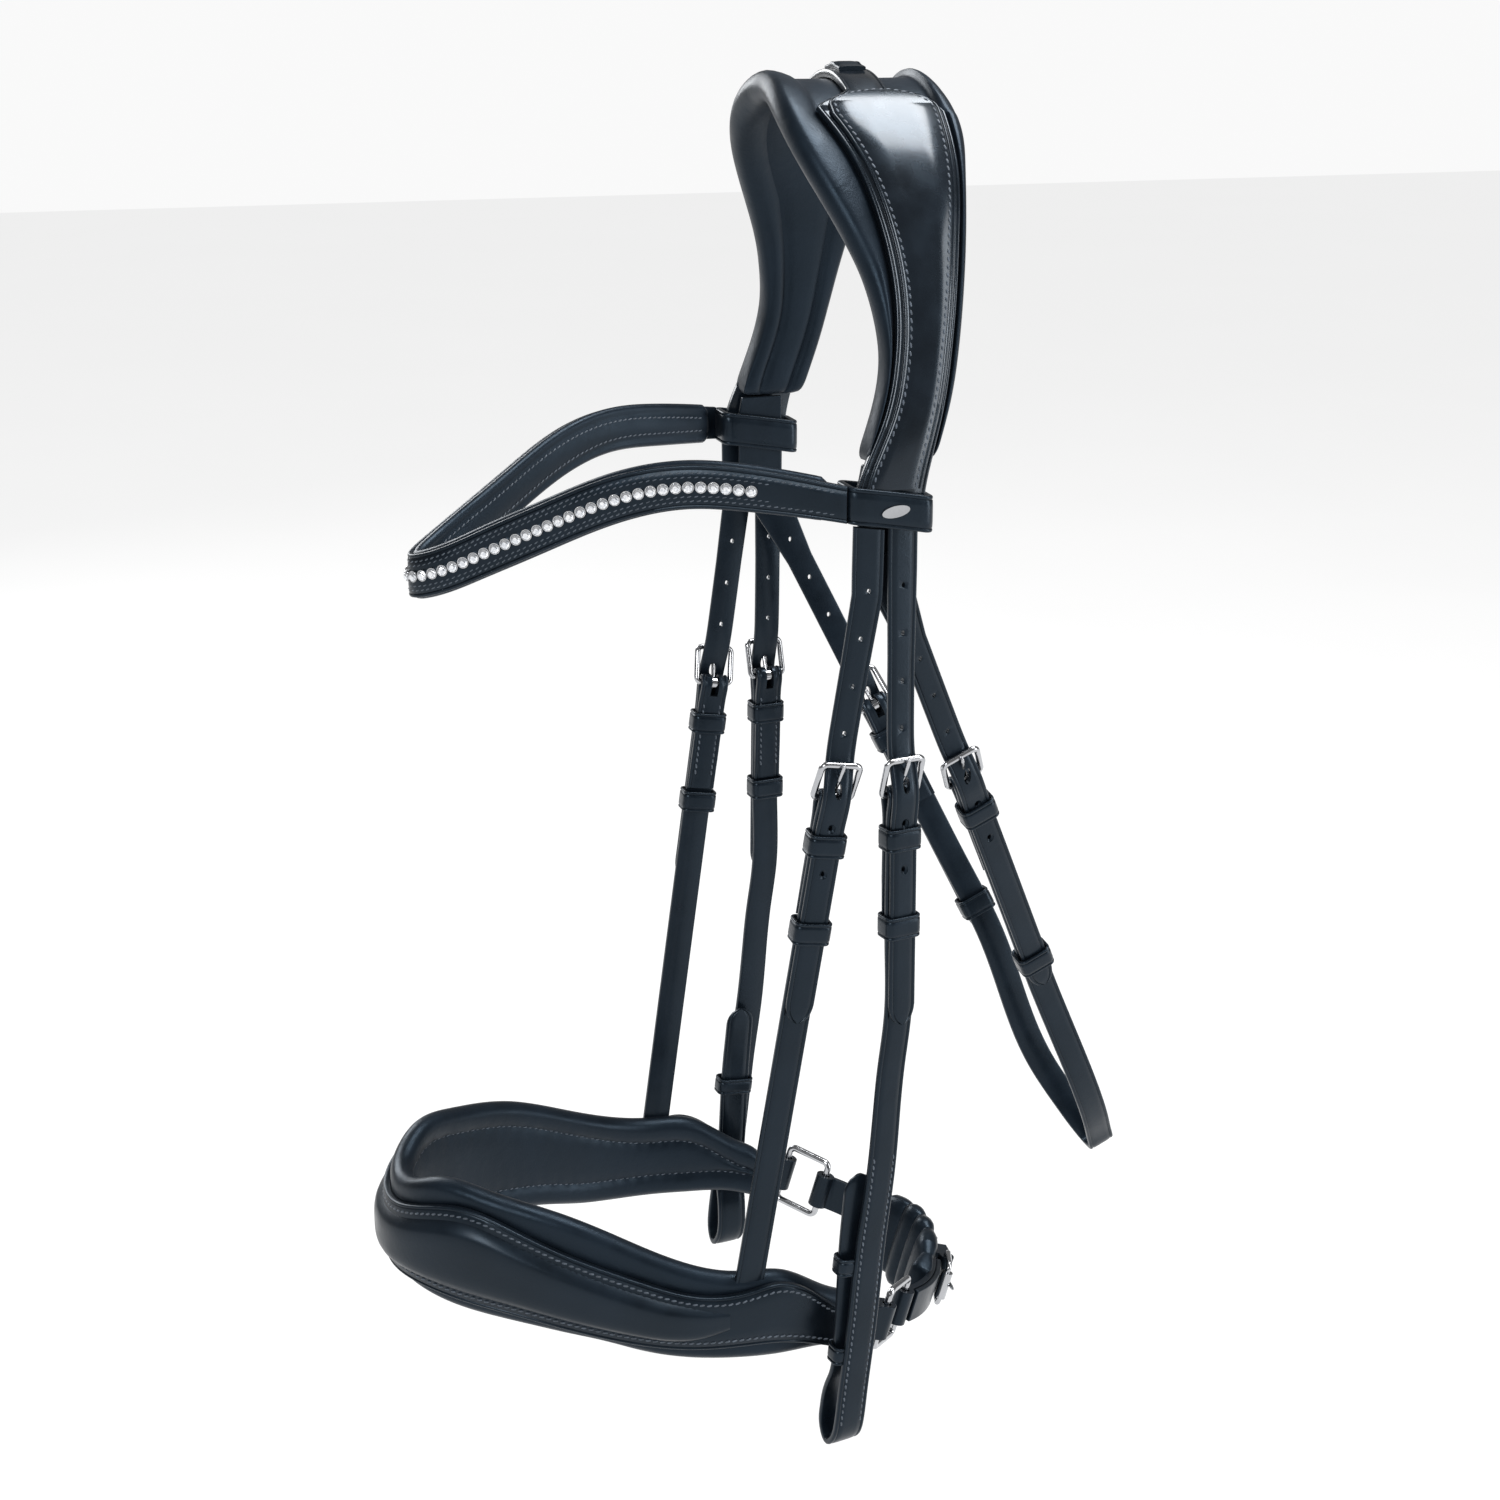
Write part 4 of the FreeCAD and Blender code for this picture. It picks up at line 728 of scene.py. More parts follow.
def throatlash():
    """One strap from buckle to buckle, hung in a V with a round bottom."""
    bands = [throat_side(side) for _, side in SIDES]
    leather_piece("throat_keeper_bands", joined(bands), STRAP, "strap_leather", "throat_keepers")
    left = Unit("throat", "left")
    right = Unit("throat", "right")
    local = np.array(folded_path([(STRAP_THICK / 2, -45)]))
    arm = left.place(np.column_stack([local[:, 0], np.zeros(len(local)), local[:, 1]]))
    down = unit_rows(np.array([[0, left.z[1], left.z[2]]]))[0] * -1
    bottom = left.origin * [0, 1, 1] + down * (339.0 - 118.0 - 1.2)
    lower = []
    for share, bow in ((0.21, 0.0), (0.42, 0.2), (0.6, 3.6), (0.8, 6.6), (0.93, 4.2)):
        straight = arm[-1] + (bottom + np.array([4.4, 0, 0]) - down * 5 - arm[-1]) * share
        lower.append(straight + np.array([bow, 0, 0]))
    bend = [bottom + np.array([5.2, 0, 0]) - down * 4.5, bottom + np.array([3.4, 0, 0]) - down * 1.2, bottom]
    half_line = list(arm) + lower + bend
    sway = [0.0] * len(arm) + [0.0, 0.2, 3.6, 6.0, 3.6, 1.4, 0.5]
    mirror = [point * [-1, 1, 1] - Y * forward for point, forward in zip(half_line[:-1], sway)][::-1]
    line = spline(half_line + mirror, step=1.8)
    tangent = directions(line)
    across = np.tile(left.y, (len(line), 1))
    out = unit_rows(np.cross(across, tangent)) * -1
    travelled = np.concatenate([[0], np.cumsum(np.linalg.norm(np.diff(line, axis=0), axis=1))])
    ends = np.minimum(travelled, travelled[-1] - travelled)
    thick = 1.0 + 1.4 * np.clip(ends / 14.0, 0, 1)
    profiles = [strap_profile(-6, 6, t) for t in thick]
    mesh = punched(sweep(line, across, out, profiles), [eye_slot(left), eye_slot(right)])
    leather_piece("throatlash_leather", mesh, STRAP, "strap_leather", "throatlash_strap")


# ---------------------------------------------------------------- padding under pressure

FRAMES = 14
PRESSURE = 4.0


def plump(piece, around, sewn, cap):
    """Settle a stuffed piece under cloth pressure while its sewn lines stay held.

    It moves the skin by only about 0.01 mm on average: the sections give the pad its shape.
    The mesh has `around` points in each section, and `sewn` lists the held ones."""
    mesh = piece.data
    count = len(mesh.vertices)
    rest = np.empty(count * 3)
    mesh.vertices.foreach_get("co", rest)
    rest = rest.reshape(-1, 3)
    ends = around * 2
    held = [index for index in range(count)
            if index % around in sewn or index < ends or index >= count - ends]
    group = piece.vertex_groups.new(name="sewn")
    group.add(held, 1.0, "REPLACE")
    cloth = piece.modifiers.new("stuffing", "CLOTH")
    cloth.settings.vertex_group_mass = "sewn"
    cloth.settings.use_pressure = True
    cloth.settings.uniform_pressure_force = PRESSURE
    cloth.settings.effector_weights.gravity = 0
    cloth.settings.quality = 8
    cloth.settings.mass = 0.012
    cloth.settings.tension_stiffness = 25
    cloth.settings.compression_stiffness = 25
    cloth.settings.shear_stiffness = 10
    cloth.settings.bending_stiffness = 2
    cloth.point_cache.frame_start = 1
    cloth.point_cache.frame_end = FRAMES
    for step in range(1, FRAMES + 1):
        bpy.context.scene.frame_set(step)
    swollen = piece.evaluated_get(bpy.context.evaluated_depsgraph_get()).to_mesh()
    moved = np.empty(count * 3)
    swollen.vertices.foreach_get("co", moved)
    moved = moved.reshape(-1, 3)
    piece.modifiers.remove(cloth)
    piece.vertex_groups.remove(group)
    bpy.context.scene.frame_set(1)
    change = np.nan_to_num(moved - rest)
    reach = np.linalg.norm(change, axis=1, keepdims=True)
    change *= np.minimum(1.0, cap * MM / np.maximum(reach, 1e-9))
    mesh.vertices.foreach_set("co", (rest + change).ravel())
    mesh.update()
    print("stuffed", piece.name, "mean", round(float(np.minimum(reach, cap * MM).mean() / MM), 3), "mm")


# ---------------------------------------------------------------- headpiece

ARCH_CENTRE = -140.0
CROWN_HALF = 84.0
CROWN_RISE = 151.5
CROWN_THICK = 3.4
PAD_THICK = 9.4
LEATHER_REAR = [(-175, 2.5), (-150, 2.5), (-138, 3.5), (-123, 7), (-106, 11.5), (-88, 15), (-68, 18.5),
                (-45, 22.5), (-22, 26.5), (-3, 27.5)]
LEATHER_FRONT = [(-175, -24.5), (-150, -24.5), (-140, -24), (-126, -19.5), (-110, -12.5), (-92, -8),
                 (-74, -6),
                 (-55, -6.5), (-38, -9), (-22, -13), (-10, -18), (0, -23.5)]
PAD_REAR = [(-140, 5.5), (-124, 9.5), (-106, 15), (-88, 19), (-68, 22.5), (-45, 26.5), (-22, 31),
            (-8, 34), (6, 33), (16, 30)]
PAD_FRONT = [(-140, -21), (-124, -19), (-106, -14), (-90, -11), (-76, -12), (-60, -15.5),
             (-45, -21), (-30, -27.5), (-15, -33.5), (0, -37), (8, -37), (16, -35)]


def arch_point(angle):
    """A point on the arch that the crown follows, and the outward direction there."""
    x = CROWN_HALF * np.cos(angle)
    z = ARCH_CENTRE + CROWN_RISE * np.sin(angle)
    out = np.array([np.cos(angle) / CROWN_HALF, 0, np.sin(angle) / CROWN_RISE])
    return np.array([x, 0, z]), out / np.linalg.norm(out)


def arch_stations(low, step=2.2):
    """Stations over the poll from one side to the other, straight down below the arch's centre."""
    stations = []
    below = np.arange(low, ARCH_CENTRE, step)
    for z in below:
        stations.append((np.array([CROWN_HALF, 0, z]), np.array([1.0, 0, 0])))
    first = math.asin(np.clip((max(low, ARCH_CENTRE) - ARCH_CENTRE) / CROWN_RISE, 0, 1))
    count = int((math.pi - 2 * first) * 120 / step)
    for angle in np.linspace(first, math.pi - first, count):
        stations.append(arch_point(angle))
    for z in below[::-1]:
        stations.append((np.array([-CROWN_HALF, 0, z]), np.array([-1.0, 0, 0])))
    return stations


Y = np.array([0, 1.0, 0])


def crown_edges(z):
    """Rear and front edges of the crown leather at a level, with the narrow neck over the poll."""
    rear = at(LEATHER_REAR, min(z, -3))
    front = at(LEATHER_FRONT, min(z, -1))
    if z > -3:
        ease = np.clip((z + 3) / 8.5, 0, 1)
        rear += (8.0 - rear) * (ease * ease * (3 - 2 * ease))
    if z > -1:
        ease = np.clip((z + 1) / 6.5, 0, 1)
        front += (-8.0 - front) * (ease * ease * (3 - 2 * ease))
    return float(rear), float(front)


def crown_leather():
    sections = []
    for point, out in arch_stations(-148):
        rear, front = crown_edges(point[2])
        profile = strap_profile(front, rear, CROWN_THICK, crease=1.1, crown=0.1)
        centre = point - out * CROWN_THICK / 2
        sections.append(centre + profile[:, :1] * Y + profile[:, 1:] * out)
    leather_piece("crown_leather_top", loft(sections), CROWN, "crown_leather", "headpiece_strap")


def overlay_edges(z):
    """Edges of the stitched top layer at a level; its crest closes in a curve over the poll side."""
    rear = at(LEATHER_REAR, min(z, -8)) - 2.6
    front = at(LEATHER_FRONT, min(z, -4)) + 2.6
    if z > -3:
        rear += (5.0 - rear) * (1 - math.sqrt(max(1 - ((z + 3) / 6.5) ** 2, 0)))
    if z > -1:
        front += (5.0 - front) * (1 - math.sqrt(max(1 - ((z + 1) / 4.5) ** 2, 0)))
    return float(rear), float(front)


def overlay(sign, side):
    thick = 1.6
    sections = []
    edge_lines = {"rear": [], "front": []}
    outs = []
    for point, out in arch_stations(-137, 1.0):
        if point[0] * sign < 20 or point[2] > 3.4:
            continue
        rear, front = overlay_edges(point[2])
        if rear - front < 1.5:
            continue
        profile = strap_profile(front, rear, thick, crease=0.9, crown=0.25)
        centre = point + out * (thick / 2 + 0.05)
        sections.append(centre + profile[:, :1] * Y + profile[:, 1:] * out)
        face = point + out * (thick + 0.10)
        inset = min(2.4, (rear - front) / 2 - 0.4)
        edge_lines["rear"].append(face + Y * (rear - inset))
        edge_lines["front"].append(face + Y * (front + inset))
        outs.append(out)
    leather_piece("crown_overlay_" + side, loft(sections), CROWN, "crown_leather",
                  "headpiece_overlay_" + side)
    if sign > 0:
        loop = edge_lines["front"] + edge_lines["rear"][::-1]
        normals = outs + outs[::-1]
    else:
        loop = edge_lines["front"][::-1] + edge_lines["rear"]
        normals = outs[::-1] + outs
    row = stitches(loop, np.array(normals), pitch=3.0, length=2.2, radius=0.42)
    stitch_piece("crown_stitches_" + side, [row], "root")


def crown_pad_section(front, rear, leather_front, leather_rear):
    """Across and depth values round the padding: a roll at each edge, a bed for the leather, and
    two sewn grooves inside."""
    deep = CROWN_THICK + PAD_THICK
    bed = -CROWN_THICK - 0.35
    points = []
    roll_front = min((leather_front - front) * 0.62, 6.2)
    roll_rear = min((rear - leather_rear) * 0.75, 6.2)
    for turn in range(0, 181, 20):
        angle = math.radians(90 + turn)
        height = deep / 2
        across = front + roll_front + roll_front * math.cos(angle)
        points.append((across, -height + height * math.sin(angle)))
    groove = [(14.5, -deep + 0.2), (16.0, -deep + 1.9), (17.5, -deep + 0.2)]
    span = rear - front
    scale = min(1.0, span / 52.0)
    points += [(front + 9 * scale, -deep - 0.4)]
    points += [(front + place * scale * 0.9, depth) for place, depth in groove]
    points += [((front + rear) / 2, -deep + 0.1)]
    points += [(rear - place * scale * 0.9, depth) for place, depth in reversed(groove)]
    points += [(rear - 9 * scale, -deep - 0.4)]
    for turn in range(0, 181, 20):
        angle = math.radians(270 + turn)
        height = deep / 2
        points.append((rear - roll_rear + roll_rear * math.cos(angle), -height + height * math.sin(angle)))
    points += [(leather_rear + 0.9, bed + 1.6), (leather_rear + 0.3, bed + 0.1), (leather_rear - 3, bed)]
    points += [((leather_front + leather_rear) / 2, bed)]
    points += [(leather_front + 3, bed), (leather_front - 0.3, bed + 0.1), (leather_front - 0.9, bed + 1.6)]
    return np.array(points)


def subdivide(piece):
    subdivision = piece.modifiers.new("round", "SUBSURF")
    subdivision.levels = 1
    subdivision.render_levels = 1


def crown_padding():
    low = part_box("headpiece_padding")[0][2] / MM
    stations = arch_stations(low, 2.0)
    sections = []
    total = len(stations)
    for index, (point, out) in enumerate(stations):
        z = point[2]
        front, rear = float(at(PAD_FRONT, z)), float(at(PAD_REAR, z))
        lead_rear, lead_front = crown_edges(min(z, -3))
        if z > -3:
            lead_rear, lead_front = 25.0, -22.0
        profile = crown_pad_section(front, rear, lead_front, lead_rear)
        end = min(index, total - 1 - index) * 2.0
        close = math.sqrt(1 - (1 - min((end + 0.6) / 6.0, 1)) ** 2)
        middle = profile.mean(axis=0)
        profile = middle + (profile - middle) * [0.80 + 0.20 * close, 0.35 + 0.65 * close]
        sections.append(point + profile[:, :1] * Y + profile[:, 1:] * out)
    mesh = loft(sections)
    smooth(mesh, 75)
    piece = leather_piece("crown_pad", mesh, PADDING, "padding_leather", "headpiece_padding")
    around = len(profile)
    bed = list(range(around - 7, around))
    seams = [11, 15]
    plump(piece, around, bed + seams, 0.9)
    subdivide(piece)


def poll_strip():
    sections = []
    for point, out in arch_stations(0, 1.2):
        if abs(point[0]) > 8.6:
            continue
        lift = 0.9 * math.exp(-(point[0] / 3.2) ** 4)
        profile = strap_profile(-5.5, 5.5, 1.7 + lift, crease=0.9, crown=0.15)
        sections.append(point + out * (0.95 + lift / 2) + profile[:, :1] * Y + profile[:, 1:] * out)
    leather_piece("poll_strip", loft(sections), STRAP, "strap_leather", "poll_bridge")


# ---------------------------------------------------------------- bands that bend in plan

def mirrored(points):
    left = [(u, v) for u, v in points if u > 0]
    return list(reversed(left)) + [(u, v) for u, v in points if u == 0] + [(-u, v) for u, v in left]


BROW_PLAN = mirrored([(0, -176.5), (12.5, -167.5), (23, -150), (34, -131.5), (47, -109.5), (61, -82),
                      (70.5, -60), (77, -46.4), (82.3, -36.2), (86.4, -28.6)])
BROW_TOP = [(10, -141), (-12, -137), (-28, -134.5), (-45, -131.5), (-62, -129), (-82, -128),
            (-109, -134), (-131, -145), (-152, -156.5), (-171, -166.5), (-183, -171), (-195, -174)]
BROW_LOW = [(10, -155), (-12, -151), (-28, -148.5), (-45, -146.5), (-62, -145), (-82, -144.5),
            (-109, -152), (-131, -163.5), (-152, -175), (-171, -184), (-183, -187.5), (-195, -189)]
NOSE_PLAN = mirrored([(0, -196), (16, -192.5), (30, -182), (42, -167), (52, -150), (59, -134),
                      (64.5, -118), (69.5, -102), (74, -84), (76.4, -66), (76.4, -48), (74.3, -30),
                      (70.8, -11)])
NOSE_TOP = [(0, -489), (-8, -486), (-24, -479), (-40, -466), (-50, -462.5), (-62, -464), (-83, -464),
            (-105, -457), (-136, -444), (-154, -435), (-172, -429), (-186, -432), (-197, -437), (-210, -442)]
NOSE_LOW = [(0, -507), (-8, -504.5), (-24, -498), (-40, -491.5), (-50, -489), (-62, -488), (-83, -487.5),
            (-105, -485), (-136, -477.5), (-154, -473), (-172, -470), (-186, -467.5), (-197, -466),
            (-210, -465)]
NOSE_PAD_TOP = [(0, -487), (-14, -479), (-24, -474), (-46, -461), (-66, -458.5), (-82, -455),
                (-105, -445.5), (-120, -438), (-135, -431.5), (-150, -427), (-164, -423.5), (-182, -421),
                (-197, -429), (-210, -436)]
NOSE_PAD_LOW = [(0, -506), (-14, -503), (-24, -500), (-46, -498), (-66, -496.5), (-82, -495),
                (-105, -491), (-120, -486.5), (-135, -483), (-150, -480), (-164, -478), (-182, -475),
                (-197, -471), (-210, -469)]
PANEL_TOP = [(-60, -470.5), (-72, -471.5), (-83, -469.5), (-105, -462.5), (-136, -449.5), (-154, -441),
             (-172, -435), (-186, -438), (-197, -443), (-210, -448)]
PANEL_LOW = [(-60, -478.5), (-72, -480), (-83, -482), (-105, -480), (-136, -472.5), (-154, -468),
             (-172, -465), (-186, -462.5), (-197, -461), (-210, -460)]
UP = np.array([0, 0, 1.0])


STATION_STEP = 2.0


def plan_stations(plan, end_y=None):
    """Centres and outward directions along a plan line."""
    line = spline(plan, step=STATION_STEP)
    tangent = directions(line)
    out = np.column_stack([-tangent[:, 1], tangent[:, 0], np.zeros(len(line))])
    points = np.column_stack([line, np.zeros(len(line))])
    keep = np.full(len(line), True) if end_y is None else line[:, 1] < end_y
    return points[keep], out[keep]


def band(plan, top, low, near, far, crease=1.25):
    """A leather band along a plan line, between the heights of its top and low edges."""
    points, out = plan_stations(plan)
    high = at(top, points[:, 1])
    deep = at(low, points[:, 1])
    sections = []
    for index, point in enumerate(points):
        profile = strap_profile(deep[index], high[index], far - near, crease, crown=0.1)
        centre = point - out[index] * (near + far) / 2
        sections.append(centre + profile[:, :1] * UP + profile[:, 1:] * out[index])
    return loft(sections)


def band_rows(plan, top, low, face, inset, end_y=None, facing=1, **options):
    """Stitch rows along the top and bottom edges of a band's outer or inner face."""
    points, out = plan_stations(plan, end_y=end_y)
    rows = []
    for line, sign in ((top, -1), (low, 1)):
        level = at(line, points[:, 1]) + sign * inset
        places = points + out * face
        places[:, 2] = level
        rows.append(stitches(places, out * facing, **options))
    return rows


def pad_band(plan, top, low, section, end_y=None, ends=5.0):
    """A soft band: section(height, station) gives (up, out) values, closing softly at both ends."""
    points, out = plan_stations(plan, end_y=end_y)
    gaps = np.linalg.norm(np.diff(points, axis=0), axis=1)
    travelled = np.concatenate([[0], np.cumsum(gaps)])
    sections = []
    for index, point in enumerate(points):
        high, deep = float(at(top, point[1])), float(at(low, point[1]))
        profile = section(high, deep, point[1])
        end = min(travelled[index], travelled[-1] - travelled[index])
        close = math.sqrt(1 - (1 - min((end + 0.4) / ends, 1)) ** 2)
        middle = profile.mean(axis=0)
        profile = middle + (profile - middle) * [0.6 + 0.4 * close, 0.25 + 0.75 * close]
        sections.append(point + profile[:, :1] * UP + profile[:, 1:] * out[index])
    mesh = loft(sections)
    smooth(mesh, 75)
    return mesh


def browband():
    thick = 2.6
    leather_piece("browband_strap", band(BROW_PLAN, BROW_TOP, BROW_LOW, 0, thick), STRAP, "strap_leather",
                  "browband_leather")

    def lining(high, deep, y):
        top, base = high + 0.9, deep - 0.9
        inner = -thick - 3.7
        return np.array([(top - 1.4, -thick + 0.6), (top - 0.2, -thick - 0.2), (top + 0.2, -thick - 1.7),
                         (top - 0.6, inner + 0.7), (top - 2.2, inner), (top - 3.4, inner + 0.7),
                         (top - 4.6, inner + 0.1), ((top + base) / 2, inner - 0.3), (base + 4.6, inner + 0.1),
                         (base + 3.4, inner + 0.7), (base + 2.2, inner), (base + 0.6, inner + 0.7),
                         (base - 0.2, -thick - 1.7), (base + 0.2, -thick - 0.2), (base + 1.4, -thick + 0.6),
                         ((top + base) / 2, -thick + 0.2)])

    piece = leather_piece("browband_pad", pad_band(BROW_PLAN, BROW_TOP, BROW_LOW, lining, end_y=-34, ends=3),
                          PADDING, "padding_leather", "browband_lining")
    rows = band_rows(BROW_PLAN, BROW_TOP, BROW_LOW, 0.12, 2.9, end_y=-31, pitch=2.6, length=1.9, radius=0.26)
    rows += band_rows(BROW_PLAN, BROW_TOP, BROW_LOW, 0.12, 4.6, end_y=-52, pitch=2.6, length=1.9, radius=0.24)
    rows += band_rows(BROW_PLAN, BROW_TOP, BROW_LOW, -thick - 3.85, 4.6, end_y=-38, facing=-1,
                      pitch=2.6, length=1.9, radius=0.26)
    stitch_piece("browband_stitches", rows, "browband")
    loops = [brow_loop(sign) for sign, _ in SIDES]
    leather_piece("browband_end_loops", joined(loops), STRAP, "strap_leather", "browband_loops")


def brow_loop(sign):
    """One end loop round the crown: the leather turns four rounded corners."""
    thick = 2.6
    low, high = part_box("browband_loops")
    x_high = high[0] / MM - thick / 2
    x_low = 73.3 - thick / 2
    y_low = low[1] / MM + thick / 2
    y_high = high[1] / MM - thick / 2
    corner = 2.6
    dense, tangent = rounded_outline(x_low, x_high, y_low, y_high, corner, corner, 15)
    sections = []
    for (x, y), (tx, ty) in zip(dense, tangent):
        profile = strap_profile(float(at(BROW_LOW, y)), float(at(BROW_TOP, y)), thick)
        out = np.array([sign * ty, -tx, 0])
        sections.append(np.array([sign * x, y, 0]) + profile[:, :1] * UP + profile[:, 1:] * out)
    return loft(sections, ring=True)


# ---------------------------------------------------------------- crystals and badge

def islands(node):
    """The separate solids of a CAD node, each as its points in millimetres."""
    solid = bmesh.new()
    solid.from_mesh(frame["nodes"][node].data)
    bmesh.ops.remove_doubles(solid, verts=solid.verts, dist=1e-6)
    seen = set()
    found = []
    for vertex in solid.verts:
        if vertex in seen:
            continue
        stack = [vertex]
        seen.add(vertex)
        points = []
        while stack:
            current = stack.pop()
            points.append(np.array(current.co) / MM)
            for edge in current.link_edges:
                other = edge.other_vert(current)
                if other not in seen:
                    seen.add(other)
                    stack.append(other)
        found.append(np.array(points))
    solid.free()
    return found


def turned_rings(centre, axis, rings, sides, twist=0.0):
    """Rings of (height, radius) round an axis."""
    helper = UP if abs(axis[2]) < 0.9 else Y
    side = np.cross(axis, helper)
    side /= np.linalg.norm(side)
    other = np.cross(axis, side)
    angles = np.linspace(0, 2 * math.pi, sides, endpoint=False)
    sections = []
    for index, (height, radius) in enumerate(rings):
        middle = centre + axis * height
        turned = angles + twist * index
        sections.append([middle + radius * (side * math.cos(angle) + other * math.sin(angle))
                         for angle in turned])
    return loft(sections)


CUP_RINGS = [(0, 2.2), (0.75, 2.28), (0.98, 2.2), (0.98, 1.95), (0.5, 1.8)]
STONE_RINGS = [(0, 1.85), (0.45, 1.88), (0.95, 1.45), (1.3, 0.95)]


def crystals():
    """Cut stones in round cups: a table, a girdle and facets; the cups have a rolled rim."""
    stones = []
    cups = []
    bases = islands("browband_cups")
    tops = islands("browband_crystals")
    centres = [points.mean(axis=0) for points in tops]
    for points in bases:
        base = points.mean(axis=0)
        nearest = min(centres, key=lambda centre: np.linalg.norm(centre - base))
        axis = nearest - base
        axis /= np.linalg.norm(axis)
        cups.append(turned_rings(base - axis * 0.4, axis, CUP_RINGS, 20))
        stones.append(turned_rings(base + axis * 0.2, axis, STONE_RINGS, 8, math.pi / 8))
    piece = make_object("browband_stones", joined(stones), CRYSTAL, "browband")
    piece.data.shade_flat()
    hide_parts("browband_crystals")
    piece = make_object("browband_cup_row", joined(cups), CUP, "browband")
    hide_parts("browband_cups")


# ---------------------------------------------------------------- noseband

def noseband():
    thick = 3.0
    leather_piece("noseband_strap", band(NOSE_PLAN, NOSE_TOP, NOSE_LOW, 0, thick, crease=1.0), STRAP,
                  "strap_leather", "noseband_leather")
    rows = band_rows(NOSE_PLAN, NOSE_TOP, NOSE_LOW, 0.13, 3.2, end_y=-13, pitch=2.9, length=2.2, radius=0.40)
    rows += band_rows(NOSE_PLAN, NOSE_PAD_TOP, NOSE_PAD_LOW, -10.9, 10.8, end_y=-17, facing=-1,
                      pitch=2.9, length=2.1, radius=0.30)
    stitch_piece("noseband_stitches", rows, "noseband")

    def panel(high, deep, y):
        swell = 4.2 * np.clip((-70 - y) / 26.0, 0.10, 1) ** 0.7
        points = [(high + 0.8, -0.4)]
        for share in np.linspace(0, 1, 13):
            rise = swell * (1 - (2 * share - 1) ** 4) ** 0.55
            points.append((high + 0.4 + (deep - high - 0.8) * share, 0.05 + rise))
        points.append((deep - 0.8, -0.4))
        return np.array(points)

    mesh = pad_band(NOSE_PLAN, PANEL_TOP, PANEL_LOW, panel, end_y=-70, ends=18)
    piece = leather_piece("noseband_raised_panel", mesh, PANEL, "crown_leather", "noseband_panel")

    def padding(high, deep, y):
        outer = -thick - 0.2
        inner = -12.3
        radius = 4.9
        middle = (outer + inner) / 2
        seam = inner + 1.9 + 0.35 * math.sin(y / 1.1)
        top_roll = [(high - radius + radius * math.sin(turn), middle + radius * math.cos(turn))
                    for turn in np.linspace(0, math.pi, 9)]
        low_roll = [(deep + radius - radius * math.sin(turn), middle - radius * math.cos(turn))
                    for turn in np.linspace(0, math.pi, 9)]
        between = [(high - 9.6, inner + 0.35), (high - 10.8, seam), (high - 12.0, inner + 0.6),
                   ((high + deep) / 2, inner + 0.1), (deep + 12.0, inner + 0.6), (deep + 10.8, seam),
                   (deep + 9.6, inner + 0.35)]
        face = [(deep + 9.5, outer), ((high + deep) / 2, outer), (high - 9.5, outer)]
        return np.array(top_roll + between + low_roll + face)

    mesh = pad_band(NOSE_PLAN, NOSE_PAD_TOP, NOSE_PAD_LOW, padding, ends=7)
    piece = leather_piece("noseband_pad", mesh, PADDING, "padding_leather", "noseband_padding")
    plump(piece, 28, [10, 14, 25, 26, 27], 0.9)
    subdivide(piece)
    bands = [hanger(sign, side) for sign, side in SIDES]
    leather_piece("hanger_keeper_bands", joined(bands), STRAP, "strap_leather", "hanger_keepers")


# ---------------------------------------------------------------- chin

def chin_pad():
    """The quilted pad behind the chin strap: upright folds that swell beyond the strap's edges."""
    turn = JOINTS["chin_turn"]
    origin = np.array(JOINTS["ring_left_turn"]["pos_m"]) / MM * [0, 1, 1]
    up = np.array(turn["axis"])
    back = np.cross(up, [1.0, 0, 0])
    corner = np.array(turn["pos_m"]) / MM - origin
    reach, rear = corner[0], corner.dot(back)
    bow = 30.0
    radius = (reach ** 2 + bow ** 2) / (2 * bow)
    centre = rear + bow - radius
    far = radius - STRAP_THICK / 2 - 0.1
    sections = []
    for degrees in np.arange(-38, 38.1, 0.6):
        angle = math.radians(degrees)
        out = np.array([1.0, 0, 0]) * math.sin(angle) + back * math.cos(angle)
        middle = origin + back * centre + out * far
        side = abs(far * math.sin(angle))
        tall = float(np.interp(side, [0, 8, 22, 36], [20, 20, 17, 8]))
        close = math.sqrt(max(1 - (1 - min((38.3 - abs(degrees)) / 5.0, 1)) ** 2, 0.02))
        fold = abs(math.sin(math.pi * (degrees + 2.5 * math.sin(degrees / 9)) / 14)) ** 0.8
        outer = -0.3
        lip = outer + (0.3 + 1.7 * fold) * close
        inner = -(6.0 + 2.4 * fold) * close
        half = tall * (0.93 + 0.07 * fold)
        strap = 8.2
        points = [(-strap, outer)]
        points += [(-(strap + (half - strap) * share), lip * rise + outer * (1 - rise))
                   for share, rise in ((0.15, 0.6), (0.4, 1.0), (0.7, 0.8), (0.9, 0.2))]
        points += [(-half, (outer + inner) * 0.5)]
        points += [(-half * 0.88, inner * 0.92), (-half * 0.5, inner), (0, inner * 1.02), (half * 0.5, inner),
                   (half * 0.88, inner * 0.92)]
        points += [(half, (outer + inner) * 0.5)]
        points += [(strap + (half - strap) * share, lip * rise + outer * (1 - rise))
                   for share, rise in ((0.9, 0.2), (0.7, 0.8), (0.4, 1.0), (0.15, 0.6))]
        points += [(strap, outer), (0, outer)]
        points = np.array(points)
        sections.append(middle + points[:, :1] * up + points[:, 1:] * out)
    mesh = loft(sections)
    smooth(mesh, 80)
    piece = leather_piece("chin_quilted_pad", mesh, QUILT, "padding_leather", "chin_pad")
    around = len(points)
    plump(piece, around, [0, around - 2, around - 1], 0.8)
    subdivide(piece)


# ---------------------------------------------------------------- plain CAD pieces

BEVEL_WIDTH = 0.45


